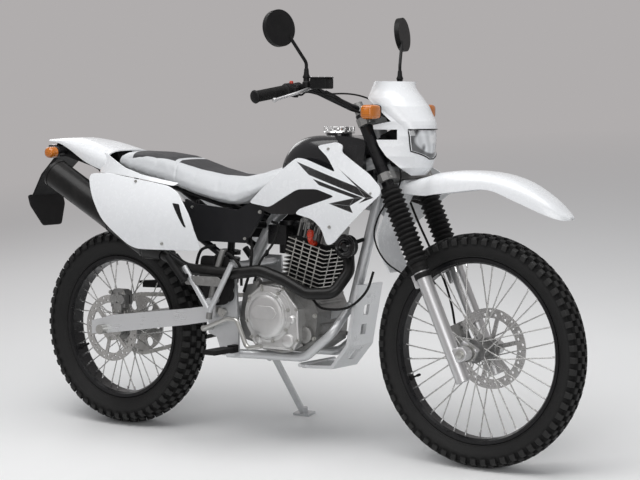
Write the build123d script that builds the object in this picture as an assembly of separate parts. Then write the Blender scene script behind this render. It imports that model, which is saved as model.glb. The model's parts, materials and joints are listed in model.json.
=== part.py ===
"""A single-cylinder dual sport motorcycle, parked on its side stand.

Every piece is drawn on the upright machine: X forward, Y to the rider's left, Z up,
origin on the floor midway between the axles, millimetres. At the end the whole machine
is leaned onto its side stand and set so that tyres and stand foot touch Z = 0.
"""
from build123d import *
from math import sin, cos, tan, pi, radians, degrees, hypot, asin, atan2
import os

# ---------------------------------------------------------------- driving dimensions
# Stance
WHEELBASE = 1370.0
LEAN = 9.0                 # degrees, to the left, on the side stand
RAKE = 25.0                # steering axis from the vertical
PARK_SHIFT = (13.0, -175.0, 0.21)   # sets the leaned machine over the origin
CLAMP_OFFSET = 28.0        # fork legs ahead of the steering axis
AXLE_LEAD = 32.0           # front axle ahead of the fork legs
FIT = 0.3                  # gap in round fits and between dressed faces
SEAT_GAP = 2.0             # soft pieces from their neighbours

# Tyres and rims: outer radius, width, bead radius, rim width
FRONT_TYRE_R, FRONT_TYRE_W, FRONT_BEAD_R, FRONT_RIM_W = 345.0, 78.0, 266.0, 50.0
REAR_TYRE_R, REAR_TYRE_W, REAR_BEAD_R, REAR_RIM_W = 324.0, 114.0, 229.0, 66.0
CROWN_DROP = 0.30          # shoulder below the crown, as a share of the half width
LUG_H, TYRE_SIDES = 9.0, 25  # tread block height, and blocks round the tyre

# Hubs, spokes and axles
FRONT_AXLE_R, REAR_AXLE_R = 7.5, 8.5
FRONT_HUB_R, REAR_HUB_R = 22.0, 30.0
FRONT_FLANGE_R, REAR_FLANGE_R = 34.0, 44.0
FLANGE_Y, FLANGE_T = 28.0, 5.0
SPOKES, SPOKE_R, SPOKE_SWEEP = 36, 1.9, 52.0

# Brakes and final drive
DISC_T = 4.0
FRONT_DISC_R, FRONT_DISC_Y = 120.0, 60.0
REAR_DISC_R, REAR_DISC_Y = 110.0, -75.0
SPROCKET_R, SPROCKET_T, CHAIN_Y = 99.0, 6.0, 79.0
DRIVE_SPROCKET_R = 36.0
CHAIN_W, CHAIN_H = 16.0, 12.0

# Fork
LEG_Y = 95.0               # fork leg centre from the middle plane
STANCHION_R, SLIDER_R, GAITER_R = 18.5, 22.0, 34.0
SLIDER_LOW, GAITER_LOW, GAITER_TOP = -74.0, 295.0, 538.0
LOW_CLAMP, TOP_CLAMP, CLAMP_T = 556.0, 735.0, 24.0
HEAD_TUBE_R, STEM_R = 29.0, 14.0
STEER_STOP = 42.0

# Frame
SPINE_R, CRADLE_R, RAIL_R = 19.0, 14.0, 11.0
CRADLE_Y, CRADLE_Z = 92.0, 290.0
PIVOT_X, PIVOT_Z, PIVOT_R = -170.0, 414.0, 24.0
ARM_Y, ARM_T = 92.0, 22.0  # swing arm inner face and thickness
PLATE_Y, PLATE_T = 117.0, 8.0
PLATE_HOLE_R = 3.25        # for M6 bolts
# Side stand
STAND_PIVOT = (-178.0, 136.0, 258.0)
STAND_FOOT_X, STAND_FOOT_Y = -140.0, 262.0
STAND_R, STAND_PIN_R = 11.0, 6.0

FRONT_AXLE = (WHEELBASE / 2, FRONT_TYRE_R)
REAR_AXLE = (-WHEELBASE / 2, REAR_TYRE_R)


# ------------------------------------------------------------------------- helpers
def round_bar(start, end, radius):
    """A round bar from one point to another."""
    start, end = Vector(*start), Vector(*end)
    return Solid.make_cylinder(radius, (end - start).length, Plane(origin=start, z_dir=end - start))


def across(x, z, y0, y1, radius):
    """A round bar across the machine, from y0 to y1."""
    return round_bar((x, min(y0, y1), z), (x, max(y0, y1), z), radius)


def tube(points, bends, radius):
    """A round tube along straight runs joined by tangent bends."""
    path = FilletPolyline(*points, radius=bends)
    return sweep(Plane(origin=path @ 0, z_dir=path % 0) * Circle(radius), path=path)


def plate(points, y0, y1):
    """An outline in X and Z, as a plate from y0 to y1."""
    low, high = min(y0, y1), max(y0, y1)
    face = make_face(Polyline(*[(x, low, z) for x, z in points], close=True))
    return extrude(face, amount=high - low, dir=(0, 1, 0))


def box(x0, x1, y0, y1, z0, z1):
    """A plain box between two corners."""
    return Pos((x0 + x1) / 2, (y0 + y1) / 2, (z0 + z1) / 2) * Box(abs(x1 - x0), abs(y1 - y0), abs(z1 - z0))


def ring(outline, axle):
    """Turn an outline of (radius, y) points about an axle."""
    x, z = axle
    face = make_face(Polyline(*[(x + r, y, z) for r, y in outline], close=True))
    return revolve(face, axis=Axis((x, 0, z), (0, 1, 0)))


def both_sides(solid):
    """A piece and its mirror image across the middle plane."""
    return [solid, mirror(solid, about=Plane.XZ)]


def sections(rows):
    """A loft through rounded rectangles across the machine.

    Each row: x, half width, bottom z, top z, corner radius.
    """
    faces = []
    for x, half, low, high, corner in rows:
        at = Plane(origin=(x, 0, (low + high) / 2), x_dir=(0, 1, 0), z_dir=(1, 0, 0))
        faces.append(at * RectangleRounded(2 * half, high - low, corner))
    return loft(faces)


def on_fork(along, forward=0.0, y=0.0):
    """A point on the fork: along the legs from the axle's foot, ahead of the leg line."""
    foot_x = FRONT_AXLE[0] - AXLE_LEAD * cos(radians(RAKE))
    foot_z = FRONT_AXLE[1] - AXLE_LEAD * sin(radians(RAKE))
    return (foot_x - along * sin(radians(RAKE)) + forward * cos(radians(RAKE)), y,
            foot_z + along * cos(radians(RAKE)) + forward * sin(radians(RAKE)))


def fork_bar(low, high, radius, y=0.0, forward=0.0):
    """A round bar parallel to the fork legs."""
    return round_bar(on_fork(low, forward, y), on_fork(high, forward, y), radius)


def fork_plate(low, high, outline):
    """A flat plate square to the fork legs; its outline is (forward, y) points."""
    plane = Plane(origin=on_fork(low), x_dir=(cos(radians(RAKE)), 0, sin(radians(RAKE))),
                  z_dir=(-sin(radians(RAKE)), 0, cos(radians(RAKE))))
    return extrude(plane * make_face(Polyline(*outline, close=True)), amount=high - low)


def shell(stations, outline, wall):
    """A curved skin cut to an outline.

    stations: (x, [(y, z) outer points, top to bottom]); outline: (x, z) points;
    the skin lies wall thick, inside its outer face.
    """
    faces = []
    for x, outer in stations:
        side = 1 if outer[0][0] > 0 else -1
        inner = [(y - side * wall, z) for y, z in reversed(outer)]
        faces.append(make_face(Polyline(*[(x, y, z) for y, z in outer + inner], close=True)))
    ys = [y for _, outer in stations for y, _ in outer]
    cutter = plate(outline, min(ys) - 50, max(ys) + 50)
    return loft(faces) & cutter


def u_shell(rows, wall, ruled=False):
    """A channel open below, lofted along the machine.

    Each row: x, half width, crest z, edge z.
    """
    faces = []
    for x, half, crest, edge in rows:
        drop = (crest - edge) * 0.25
        right = [(-half, edge), (-0.88 * half, crest - drop), (-0.5 * half, crest)]
        inner = [(-half + wall, edge), (-0.88 * half + wall, crest - drop - 0.6 * wall),
                 (-0.5 * half, crest - wall)]
        outer = right + [(-y, z) for y, z in reversed(right)]
        under = inner + [(-y, z) for y, z in reversed(inner)]
        loop = outer + under[::-1]
        faces.append(make_face(Polyline(*[(x, y, z) for y, z in loop], close=True)))
    return loft(faces, ruled=ruled)


def fork_block(low, high, f0, f1, y0, y1):
    """A block square to the fork legs, from y0 to y1."""
    return fork_plate(low, high, [(f0, y0), (f1, y0), (f1, y1), (f0, y1)])


nodes = {}


# -------------------------------------------------------------------------- wheels
def wheel(name, axle, tyre_r, tyre_w, bead_r, rim_w, hub_r, flange_r, axle_r, hub_ends):
    half, seat = tyre_w / 2, rim_w / 2
    x, z = axle
    body_r = tyre_r - LUG_H
    outline = [((bead_r + FIT) / cos(pi / TYRE_SIDES), seat - 5.5), (bead_r + 9, seat - 5.5),
               ((bead_r + tyre_r) / 2 - 8, half - 5), (body_r - 22, half - 2),
               (body_r - 0.16 * half, 0.66 * half), (body_r, 0.28 * half)]
    outline += [(r, -y) for r, y in reversed(outline)]
    facets = []
    for i in range(TYRE_SIDES):
        a, b = (2 * pi * (i + k) / TYRE_SIDES - pi / 2 for k in (-0.5, 0.5))
        for (r0, y0), (r1, y1) in zip(outline, outline[1:] + outline[:1]):
            corners = [(x + r * cos(t), y, z + r * sin(t))
                       for r, y, t in ((r0, y0, a), (r0, y0, b), (r1, y1, b), (r1, y1, a))]
            facets.append(make_face(Polyline(*corners, close=True)))
    tyre = Solid(Shell(facets))
    crown_r = (0.86 * half) ** 2 / (2 * CROWN_DROP * half)

    def lug(angle, y0, y1, length):
        """One tread block, its top on the crown."""
        at = Plane(origin=(x, 0, z), x_dir=(0, 1, 0), z_dir=(sin(angle), 0, -cos(angle)))
        ridge = (y1, 0, y0) if y0 < 0 < y1 else (y1, y0)
        top = [(y, tyre_r - y * y / (2 * crown_r)) for y in ridge]
        root = body_r - 5 - (0 if abs(y0 + y1) < half else 0.3 * half)
        return extrude(at * make_face(Polyline((y0, root), (y1, root), *top, close=True)),
                       amount=length / 2, both=True)
    pitch = 2 * pi / TYRE_SIDES
    lugs = []
    for i in range(TYRE_SIDES):
        at = pitch * i - pi / 2
        lugs.append(lug(at, -0.36 * half, 0.36 * half, 0.62 * pitch * tyre_r))
        for side in (-1, 1):
            inner, outer = sorted((side * 0.56 * half, side * 0.98 * half))
            lugs.append(lug(at + pitch / 2, inner, outer, 0.5 * pitch * tyre_r))
    nodes[name + "_tyre"] = tyre + lugs

    bed = bead_r - 9
    nodes[name + "_rim"] = ring([(bed, -seat + 9), (bed, seat - 9), (bead_r - 3, seat),
                                 (bead_r + 7, seat), (bead_r + 7, seat - 4), (bead_r, seat - 5),
                                 (bead_r, -seat + 5), (bead_r + 7, -seat + 4),
                                 (bead_r + 7, -seat), (bead_r - 3, -seat)], axle)

    low, high = hub_ends
    hub = across(x, z, low, high, hub_r)
    for side in (-1, 1):
        hub += across(x, z, side * FLANGE_Y, side * (FLANGE_Y + FLANGE_T), flange_r)
    # spokes: every other one to the left flange, leading and trailing in turn
    for i in range(SPOKES):
        side = 1 if i % 2 else -1
        sweep_by = SPOKE_SWEEP if (i // 2) % 2 else -SPOKE_SWEEP
        at_rim, at_hub = radians(360.0 / SPOKES * i), radians(360.0 / SPOKES * i + sweep_by)
        hub_at = flange_r - 5
        hub += round_bar((x + hub_at * cos(at_hub), side * (FLANGE_Y + FLANGE_T / 2), z + hub_at * sin(at_hub)),
                         (x + (bed - 1) * cos(at_rim), side * 4, z + (bed - 1) * sin(at_rim)), SPOKE_R)
    nodes[name + "_hub"] = hub - across(x, z, low - 5, high + 5, axle_r + FIT)


wheel("front", FRONT_AXLE, FRONT_TYRE_R, FRONT_TYRE_W, FRONT_BEAD_R, FRONT_RIM_W,
      FRONT_HUB_R, FRONT_FLANGE_R, FRONT_AXLE_R, (-62.0, FRONT_DISC_Y - DISC_T / 2))
wheel("rear", REAR_AXLE, REAR_TYRE_R, REAR_TYRE_W, REAR_BEAD_R, REAR_RIM_W,
      REAR_HUB_R, REAR_FLANGE_R, REAR_AXLE_R,
      (REAR_DISC_Y + DISC_T / 2, CHAIN_Y - SPROCKET_T / 2))


def brake_disc(axle, y, radius, axle_r, hub_r):
    """A drilled disc on a six-armed carrier."""
    x, z = axle
    disc = ring([(0.76 * radius, y - DISC_T / 2), (radius, y - DISC_T / 2),
                 (radius, y + DISC_T / 2), (0.76 * radius, y + DISC_T / 2)], axle)
    disc += ring([(axle_r + 4, y - DISC_T / 2), (hub_r + 12, y - DISC_T / 2),
                  (hub_r + 12, y + DISC_T / 2), (axle_r + 4, y + DISC_T / 2)], axle)
    for i in range(6):
        a = radians(60 * i + 15)
        arm = Box(0.78 * radius - hub_r - 6, DISC_T, 13, align=(Align.MIN, Align.CENTER, Align.CENTER))
        disc += Pos(x, y, z) * Rot(0, -degrees(a), 0) * Pos(hub_r + 8, 0, 0) * arm
    holes = [across(x + r * radius * cos(radians(20 * i + turn)),
                    z + r * radius * sin(radians(20 * i + turn)), y - 5, y + 5, 0.035 * radius)
             for r, turn in ((0.84, 0), (0.93, 10)) for i in range(18)]
    return disc - holes


nodes["front_brake_disc"] = brake_disc(FRONT_AXLE, FRONT_DISC_Y, FRONT_DISC_R, FRONT_AXLE_R,
                                       FRONT_HUB_R)
nodes["rear_brake_disc"] = brake_disc(REAR_AXLE, REAR_DISC_Y, REAR_DISC_R, REAR_AXLE_R, REAR_HUB_R)

sprocket = ring([(REAR_AXLE_R + 4, CHAIN_Y - SPROCKET_T / 2), (SPROCKET_R - 6, CHAIN_Y - SPROCKET_T / 2),
                 (SPROCKET_R - 6, CHAIN_Y + SPROCKET_T / 2), (REAR_AXLE_R + 4, CHAIN_Y + SPROCKET_T / 2)],
                REAR_AXLE)
sprocket -= [across(REAR_AXLE[0] + 68 * cos(radians(60 * i)), REAR_AXLE[1] + 68 * sin(radians(60 * i)),
                    CHAIN_Y - 5, CHAIN_Y + 5, 15) for i in range(6)]
nodes["rear_sprocket"] = sprocket

# ---------------------------------------------------------------------------- fork
STEM = -CLAMP_OFFSET       # steering axis, measured forward from the leg line
nodes["fork_sliders"] = []
nodes["fork_stanchions"] = []
nodes["fork_gaiters"] = []
for side in (-1, 1):
    y = side * LEG_Y
    slider = fork_bar(SLIDER_LOW, GAITER_LOW - 12, SLIDER_R, y)
    boss = across(*FRONT_AXLE, y - side * SLIDER_R, y + side * SLIDER_R * 0.8, 17)
    lug = round_bar(on_fork(0, 0, y), (FRONT_AXLE[0], y, FRONT_AXLE[1]), 15)
    slider = slider + boss + lug - across(*FRONT_AXLE, y - 40, y + 40, FRONT_AXLE_R + FIT)
    nodes["fork_sliders"].append(slider)
    nodes["fork_stanchions"].append(fork_bar(GAITER_LOW - 12, TOP_CLAMP + CLAMP_T + 14, STANCHION_R, y))
    gaiter = fork_bar(GAITER_LOW - 10, GAITER_TOP, GAITER_R - 4, y)
    for i in range(14):
        at = GAITER_LOW + 4 + i * (GAITER_TOP - GAITER_LOW - 16) / 13
        gaiter += fork_bar(at, at + 8, GAITER_R, y)
    nodes["fork_gaiters"].append(gaiter - fork_bar(GAITER_LOW - 20, GAITER_TOP + 9, STANCHION_R + FIT, y))

clamp_outline = [(-48, -6), (-48, 6), (-43, 14), (-24, 40), (-20, 78), (-8, 122), (8, 128), (26, 122),
                 (30, 84), (16, 40), (16, -40), (30, -84), (26, -122), (8, -128), (-8, -122), (-20, -78),
                 (-24, -40), (-43, -14)]
clamps = fork_plate(LOW_CLAMP, LOW_CLAMP + CLAMP_T, clamp_outline)
clamps += fork_plate(TOP_CLAMP, TOP_CLAMP + CLAMP_T, clamp_outline)
clamps += fork_bar(LOW_CLAMP, TOP_CLAMP + CLAMP_T + 12, STEM_R, 0, STEM)
for y in (-LEG_Y, LEG_Y):
    clamps -= fork_bar(LOW_CLAMP - 5, TOP_CLAMP + CLAMP_T + 5, STANCHION_R + FIT, y)
BAR_AT = TOP_CLAMP + CLAMP_T + 46
bar_x, _, bar_z = on_fork(BAR_AT, STEM)
for y in (-50, 50):
    clamps += fork_bar(TOP_CLAMP + CLAMP_T - 2, BAR_AT + 18, 16, y, STEM)
BAR_R = 11.0
nodes["triple_clamps"] = clamps

nodes["front_axle"] = (across(*FRONT_AXLE, -LEG_Y - 22, LEG_Y + 26, FRONT_AXLE_R)
                       + across(*FRONT_AXLE, -72.4, -62.6, 26)
                       + across(*FRONT_AXLE, LEG_Y + 0.8 * SLIDER_R + FIT, LEG_Y + 30, 12)
                       + across(*FRONT_AXLE, FRONT_DISC_Y + 4, LEG_Y - SLIDER_R - FIT, 11)
                       + across(*FRONT_AXLE, -LEG_Y + SLIDER_R + FIT, -62.6, 11))

# ---------------------------------------------------------------------- handlebar
GRIP_OUT, GRIP_IN = 400.0, 275.0
BAR_BEND = (bar_x - 80, 205.0, bar_z + 68)   # where the bar turns out to the grip
BAR_END = (bar_x - 127, GRIP_OUT - 8, bar_z + 37)
bar_path = [(BAR_END[0], -BAR_END[1], BAR_END[2]), (BAR_BEND[0], -BAR_BEND[1], BAR_BEND[2]),
            (bar_x, -72, bar_z), (bar_x, 72, bar_z), BAR_BEND, BAR_END]
nodes["handlebar"] = tube(bar_path, [60, 60, 60, 60], BAR_R)
bar_clearance = tube(bar_path, [60, 60, 60, 60], BAR_R + FIT)
nodes["triple_clamps"] -= bar_clearance
grips = []
for side in (-1, 1):
    inner, outer = (Vector(p[0], side * p[1], p[2]) for p in (BAR_BEND, BAR_END))
    way = (outer - inner).normalized()
    start, end = outer - way * 118, outer + way * 8
    grip = round_bar(start, end, 16.5) + round_bar(start, start + way * 8, 22)
    grips.append(grip - round_bar(start - way * 5, outer + way * FIT, BAR_R + FIT))
nodes["grips"] = grips

# --------------------------------------------------------------------------- frame
HEAD_LOW, HEAD_TOP = LOW_CLAMP + CLAMP_T + 1, TOP_CLAMP - 1
head = fork_bar(HEAD_LOW, HEAD_TOP, HEAD_TUBE_R, 0, STEM)
spine_from = on_fork(HEAD_LOW + 60, STEM)
spine_path = [spine_from, (90, 0, 830), (-70, 0, 700), (PIVOT_X + 20, 0, 560)]
spine = tube(spine_path, [120, 90], SPINE_R)
downtube = round_bar(on_fork(HEAD_LOW + 46, STEM - 8), (232, 0, 440), SPINE_R - 2)
stem_bore = fork_bar(LOW_CLAMP - 5, TOP_CLAMP + 40, STEM_R + FIT, 0, STEM)
cross_tube = across(PIVOT_X + 20, 560, -PLATE_Y - 4, PLATE_Y + 4, 12)
frame = head + spine + downtube - stem_bore
plate_outline = [(-178, 278), (-112, 278), (-118, 460), (-128, 580), (-192, 580), (-206, 470), (-206, 400),
                 (-232, 388), (-232, 344), (-200, 336)]
cradle_left = tube([(234, 10, 452), (222, CRADLE_Y, 372), (120, CRADLE_Y, CRADLE_Z),
                    (-60, CRADLE_Y, CRADLE_Z - 4), (-160, PLATE_Y + 4, CRADLE_Z - 4)], [40, 70, 120], CRADLE_R)
cradle_left += plate(plate_outline, PLATE_Y, PLATE_Y + PLATE_T)
cradle_left -= across(PIVOT_X, PIVOT_Z, PLATE_Y - 5, PLATE_Y + 40, 8 + FIT)
for half in both_sides(cradle_left):
    frame += half
for s in (-1, 1):              # engine mount at the front
    frame += plate([(159, 402), (162.4, 430), (232, 448), (232, 424)], s * 6, s * 12)
nodes["main_frame"] = frame + cross_tube

rail_path = [(-84, 25, 686), (-108, 84, 690), (-330, 92, 735), (-560, 84, 795), (-740, 60, 850)]
rail_left = tube(rail_path, [35, 200, 200], RAIL_R)
strut_path = [(PIVOT_X - 6, PLATE_Y - RAIL_R - FIT, 582), (-300, 100, 650), (-520, 86, 786)]
strut_left = tube(strut_path, [300], RAIL_R)
rails = across(-231, 708, -88, 88, 9)
for s in (-1, 1):
    rails += box(-242, -220, s * (14 + FIT), s * 22, 664, 708)
    for x, low, high in ((-300, 728, 760.5), (-560, 795, 834)):
        rails += round_bar((x, s * 88, low), (x, s * 88, high), 8)
for half in both_sides(rail_left + strut_left):
    rails += half
nodes["seat_rails"] = rails
skid = plate([(300, 520), (264, 330), (204, 258), (90, 252), (90, 262), (198, 268), (254, 336), (290, 520)],
             -66, 66)
skid += across(100, CRADLE_Z - CRADLE_R - 7 - FIT - 4, -CRADLE_Y, CRADLE_Y, 7)
skid += box(262, 294, -9, 9, 478, 498)
for x, z in ((275, 440), (262, 380), (225, 300)):
    skid -= box(x - 40, x + 60, -14, 14, z - 16, z + 16)
nodes["skid_plate"] = skid - round_bar(on_fork(HEAD_LOW + 46, STEM - 8), (232, 0, 440), SPINE_R - 2 + FIT)

# ----------------------------------------------------------- swing arm and rear end
arm_outline = [(-738, 306), (-738, 350), (-640, 374), (-330, 414), (-180, 438), (-150, 425),
               (-150, 402), (-180, 390), (-330, 362), (-640, 316)]
arms = [plate(arm_outline, s * ARM_Y, s * (ARM_Y + ARM_T)) for s in (-1, 1)]
swing = arms[0] + arms[1] + box(-346, -308, -ARM_Y - 2, ARM_Y + 2, 366, 408)
swing += across(PIVOT_X, PIVOT_Z, -ARM_Y - 2, ARM_Y + 2, PIVOT_R)
for s in (-1, 1):
    swing += box(-314, -248, s * (16 + FIT), s * 25, 338, 380)
swing -= across(PIVOT_X, PIVOT_Z, -140, 140, 8 + FIT)
swing -= across(*REAR_AXLE, -140, 140, REAR_AXLE_R + FIT)
nodes["swing_arm"] = swing
nodes["pivot_bolt"] = (across(PIVOT_X, PIVOT_Z, -132, 132, 8) + across(PIVOT_X, PIVOT_Z, 127, 138, 14)
                       + across(PIVOT_X, PIVOT_Z, -138, -127, 14))
nodes["rear_axle"] = (across(*REAR_AXLE, -136, 136, REAR_AXLE_R)
                      + across(*REAR_AXLE, ARM_Y + ARM_T + FIT, 136, 16)
                      + across(*REAR_AXLE, -136, -ARM_Y - ARM_T - FIT, 16)
                      + across(*REAR_AXLE, ARM_Y - FIT, CHAIN_Y + 6, 13)
                      + across(*REAR_AXLE, REAR_DISC_Y - 5, -ARM_Y + FIT, 13))
shock = (round_bar((-262, 0, 356), (-232, 0, 680), 12) + across(-262, 356, -16, 16, 15)
         + across(-231, 682, -14, 14, 13))
for i in range(9):
    a, b = Vector(-262, 0, 356), Vector(-232, 0, 660)
    at = a + (b - a) * (0.16 + 0.075 * i)
    shock += round_bar(at, at + (b - a).normalized() * 12, 31)
nodes["rear_shock"] = shock
caliper = box(-668, -606, REAR_DISC_Y - 22, REAR_DISC_Y - DISC_T / 2 - 1.5, 398, 446)
caliper += box(-668, -606, REAR_DISC_Y + DISC_T / 2 + 1.5, REAR_DISC_Y + 14, 408, 446)
caliper += box(-668, -606, REAR_DISC_Y - 22, REAR_DISC_Y + 14, 438, 452)
caliper += box(-650, -622, -ARM_Y - 4, REAR_DISC_Y - 10, 377, 400)
nodes["rear_caliper"] = caliper

# chain: a closed loop round the two sprockets
DRIVE = (-105.0, 418.0)


def chain_loop(grow):
    """The outline of a belt round both sprockets, grown by a distance."""
    (xr, zr), (xf, zf) = REAR_AXLE, DRIVE
    big, small = SPROCKET_R + grow, DRIVE_SPROCKET_R + grow
    gap, tilt = hypot(xf - xr, zf - zr), atan2(zf - zr, xf - xr)
    turn = asin((big - small) / gap)
    up, down = tilt + pi / 2 - turn, tilt - pi / 2 + turn

    def arc(x, z, r, a0, a1, steps):
        return [(x + r * cos(a0 + (a1 - a0) * k / steps), 0, z + r * sin(a0 + (a1 - a0) * k / steps))
                for k in range(steps + 1)]
    front_arc = arc(xf, zf, small, up, down, 6)
    rear_arc = arc(xr, zr, big, down, up - 2 * pi, 14)
    return make_face(Polyline(*front_arc, *rear_arc, close=True))


def chain_band(inner, outer, y0, y1):
    """A band of the loop between two growths and two planes."""
    solids = [Pos(0, y0, 0) * extrude(chain_loop(g), amount=y1 - y0, dir=(0, 1, 0)) for g in (outer, inner)]
    return solids[0] - solids[1]


nodes["chain"] = (chain_band(-CHAIN_H / 2, CHAIN_H / 2, CHAIN_Y - CHAIN_W / 2, CHAIN_Y - CHAIN_W / 2 + 3)
                  + chain_band(-CHAIN_H / 2, CHAIN_H / 2, CHAIN_Y + CHAIN_W / 2 - 3, CHAIN_Y + CHAIN_W / 2)
                  + chain_band(-3, 3, CHAIN_Y - CHAIN_W / 2 + 3, CHAIN_Y + CHAIN_W / 2 - 3))
nodes["chain_guard"] = (box(-520, -500, 88, 98, 392.6, 456)
                        + plate([(-690, 446), (-690, 470), (-560, 480), (-330, 478), (-330, 452), (-560, 450)],
                                88, 92)
                        + plate([(-690, 462), (-690, 470), (-560, 480), (-330, 478), (-330, 470), (-560, 472)],
                                68, 92))

# -------------------------------------------------------------------------- engine
cases = plate([(-62, 330), (-40, 308), (105, 306), (150, 335), (162, 430), (136, 484.5), (20, 515.5),
               (-62, 500)], -84, 84)
cases += plate([(-140, 390), (-120, 330), (-62, 318), (-62, 510), (-120, 500)], -84, 60)
cases += across(*DRIVE, 55, CHAIN_Y + 8, 12)
nodes["engine_cases"] = cases
cover = across(4, 416, -128, -84, 88) + plate([(-60, 345), (-40, 318), (96, 316), (116, 345), (112, 440),
                                              (60, 500)], -126, -84)
cover += across(2, 420, -142, -120, 68)
nodes["engine_covers"] = [cover, across(48, 404, 84, 124, 74) + plate(
    [(-143, 380), (-143, 450), (-100, 478), (-40, 470), (-20, 360), (-90, 350)], 90, 104)]

# cylinder: a square finned barrel and head, leaning forward with the engine
TILT = 15.0
barrel_at = Plane(origin=(78, 0, 500), x_dir=(cos(radians(TILT)), 0, -sin(radians(TILT))),
                  z_dir=(sin(radians(TILT)), 0, cos(radians(TILT))))
barrel = barrel_at * (Pos(0, 0, 77) * Box(104, 104, 154 - 2 * FIT))
FINS, FIN_STEP, FIN_T, FIN_LONG, FIN_WIDE = 11, 13.0, 3.0, 146.0, 150.0
for i in range(FINS):
    barrel += barrel_at * (Pos(0, 0, 12 + i * FIN_STEP) * Box(FIN_LONG, FIN_WIDE, FIN_T))
nodes["cylinder"] = barrel
head_cover = barrel_at * (Pos(0, 0, 180) * Box(112, 110, 52))
for i in range(5):
    head_cover += barrel_at * (Pos(-44 + 22 * i, 0, 176) * Box(3.5, 134, 40))
nodes["cylinder_head"] = head_cover
nodes["carburettor"] = (round_bar((-50, 0, 668), (84, 0, 693), 18) - head_cover
                        + round_bar((-8, 0, 600), (-8, 0, 700), 30)
                        + box(-45, 25, -60, -24, 630, 690))
nodes["horn"] = across(262, 637, -84, -62, 34) + round_bar((262, -63, 642), (285, -18, 655), 6)

# ------------------------------------------------------------------------- exhaust
PIPE_R = 18.0
MUFFLER_R, MUFFLER_Y = 48.0, -148.0
MUFFLER_BACK, MUFFLER_FRONT = (-862.0, 836.0), (-440.0, 612.0)
back = Vector(MUFFLER_BACK[0], MUFFLER_Y, MUFFLER_BACK[1])
front = Vector(MUFFLER_FRONT[0], MUFFLER_Y, MUFFLER_FRONT[1])
way = (front - back).normalized()
joint = front + way * (50 + 6 * FIT)
header = tube([(177.9, -20, 654.7), (234, -26, 640), (256, -52, 560), (228, -94, 494), (150, -120, 490),
               (60, -126, 530), (-20, -132, 554), (-110, -148, 540), (-300, -150, 546), joint],
              [30, 40, 40, 45, 60, 80, 100, 120], PIPE_R)
nodes["exhaust_pipe"] = header - head_cover
muffler = round_bar(back, front, MUFFLER_R) + Solid.make_cone(
    MUFFLER_R, PIPE_R + 4, 50, Plane(origin=front, z_dir=way))
muffler += round_bar(back - way * 26, back, 14)
muffler += round_bar((-600, -125, 735), (-600, -84, 806), 6)
muffler -= mirror(tube(rail_path, [35, 200, 200], RAIL_R + FIT), about=Plane.XZ)
nodes["muffler"] = muffler

# -------------------------------------------------------- tank, shrouds, seat, tail
tank = sections([(34, 90, 812, 900, 30), (85, 112, 800, 952, 48), (180, 122, 790, 970, 52),
                 (262, 106, 800, 964, 46), (296, 56, 860, 950, 26)])
tank += round_bar((183, 0, 940), (183, 0, 975), 40) + across(255, 935, -130, 130, 6)
tunnel = plate([(-60, 600), (-60, 728), (90, 860), (300, 914), (420, 946), (420, 600)],
               -SPINE_R - FIT, SPINE_R + FIT)
swept = [radians(a) for a in (58, 81, 104, 127, 150)]   # where the fork legs pass at full lock
for s in (-1, 1):
    sector = [(STEM + r * cos(a), s * r * sin(a))
              for r, around in ((46, swept), (128, swept[::-1])) for a in around]
    tank -= fork_plate(600, 800, sector)
nodes["fuel_tank"] = tank - tunnel
nodes["tank_cap"] = round_bar((183, 0, 975 + FIT), (183, 0, 997), 47)

SHROUD_WALL = 4.0
shroud_stations = [
    (-90, [(-100, 970), (-124, 800), (-100, 600)]), (180, [(-118, 970), (-182, 800), (-140, 600)]),
    (490, [(-138, 970), (-206, 800), (-168, 600)])]
shroud_outline = [(129, 904), (-66, 761), (29, 751), (152, 810), (230, 813), (305, 793), (162, 751),
                  (144, 736), (214, 723), (248, 695), (257, 644), (286, 654), (470, 804), (467, 824),
                  (422, 861), (299, 923), (296, 942), (269, 952), (196, 940), (252, 907), (297, 863),
                  (166, 900)]
shroud_right = shell(shroud_stations, shroud_outline, SHROUD_WALL)
nodes["shrouds"] = both_sides(shroud_right)

PANEL_WALL = 4.0
panel_stations = [
    (-720, [(-168, 860), (-204, 770), (-214, 580)]), (-450, [(-178, 860), (-222, 770), (-204, 580)]),
    (-170, [(-120, 860), (-176, 770), (-160, 580)])]
panel_outline = [(-682, 840), (-645, 775), (-583, 695), (-524, 651), (-480, 617), (-448, 606), (-209, 607),
                 (-241, 717), (-293, 787), (-336, 809), (-584, 843)]
panel_right = shell(panel_stations, panel_outline, PANEL_WALL)
panel_right -= plate([(-304, 755), (-277, 751), (-256, 680)], -260, -100)


def panel_y(x, z):
    """Roughly where the side panel's outer face lies."""
    inside = plate([(x - 3, z - 3), (x + 3, z - 3), (x + 3, z + 3), (x - 3, z + 3)], -260, -100)
    return (panel_right & inside).bounding_box().min.Y


for x, z, rail_y in ((-520, 785, 97.3), (-345, 678, 111.5)):
    panel_right += across(x, z, -rail_y, panel_y(x, z) + PANEL_WALL / 2, 7)
nodes["side_panels"] = both_sides(panel_right)

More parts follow.
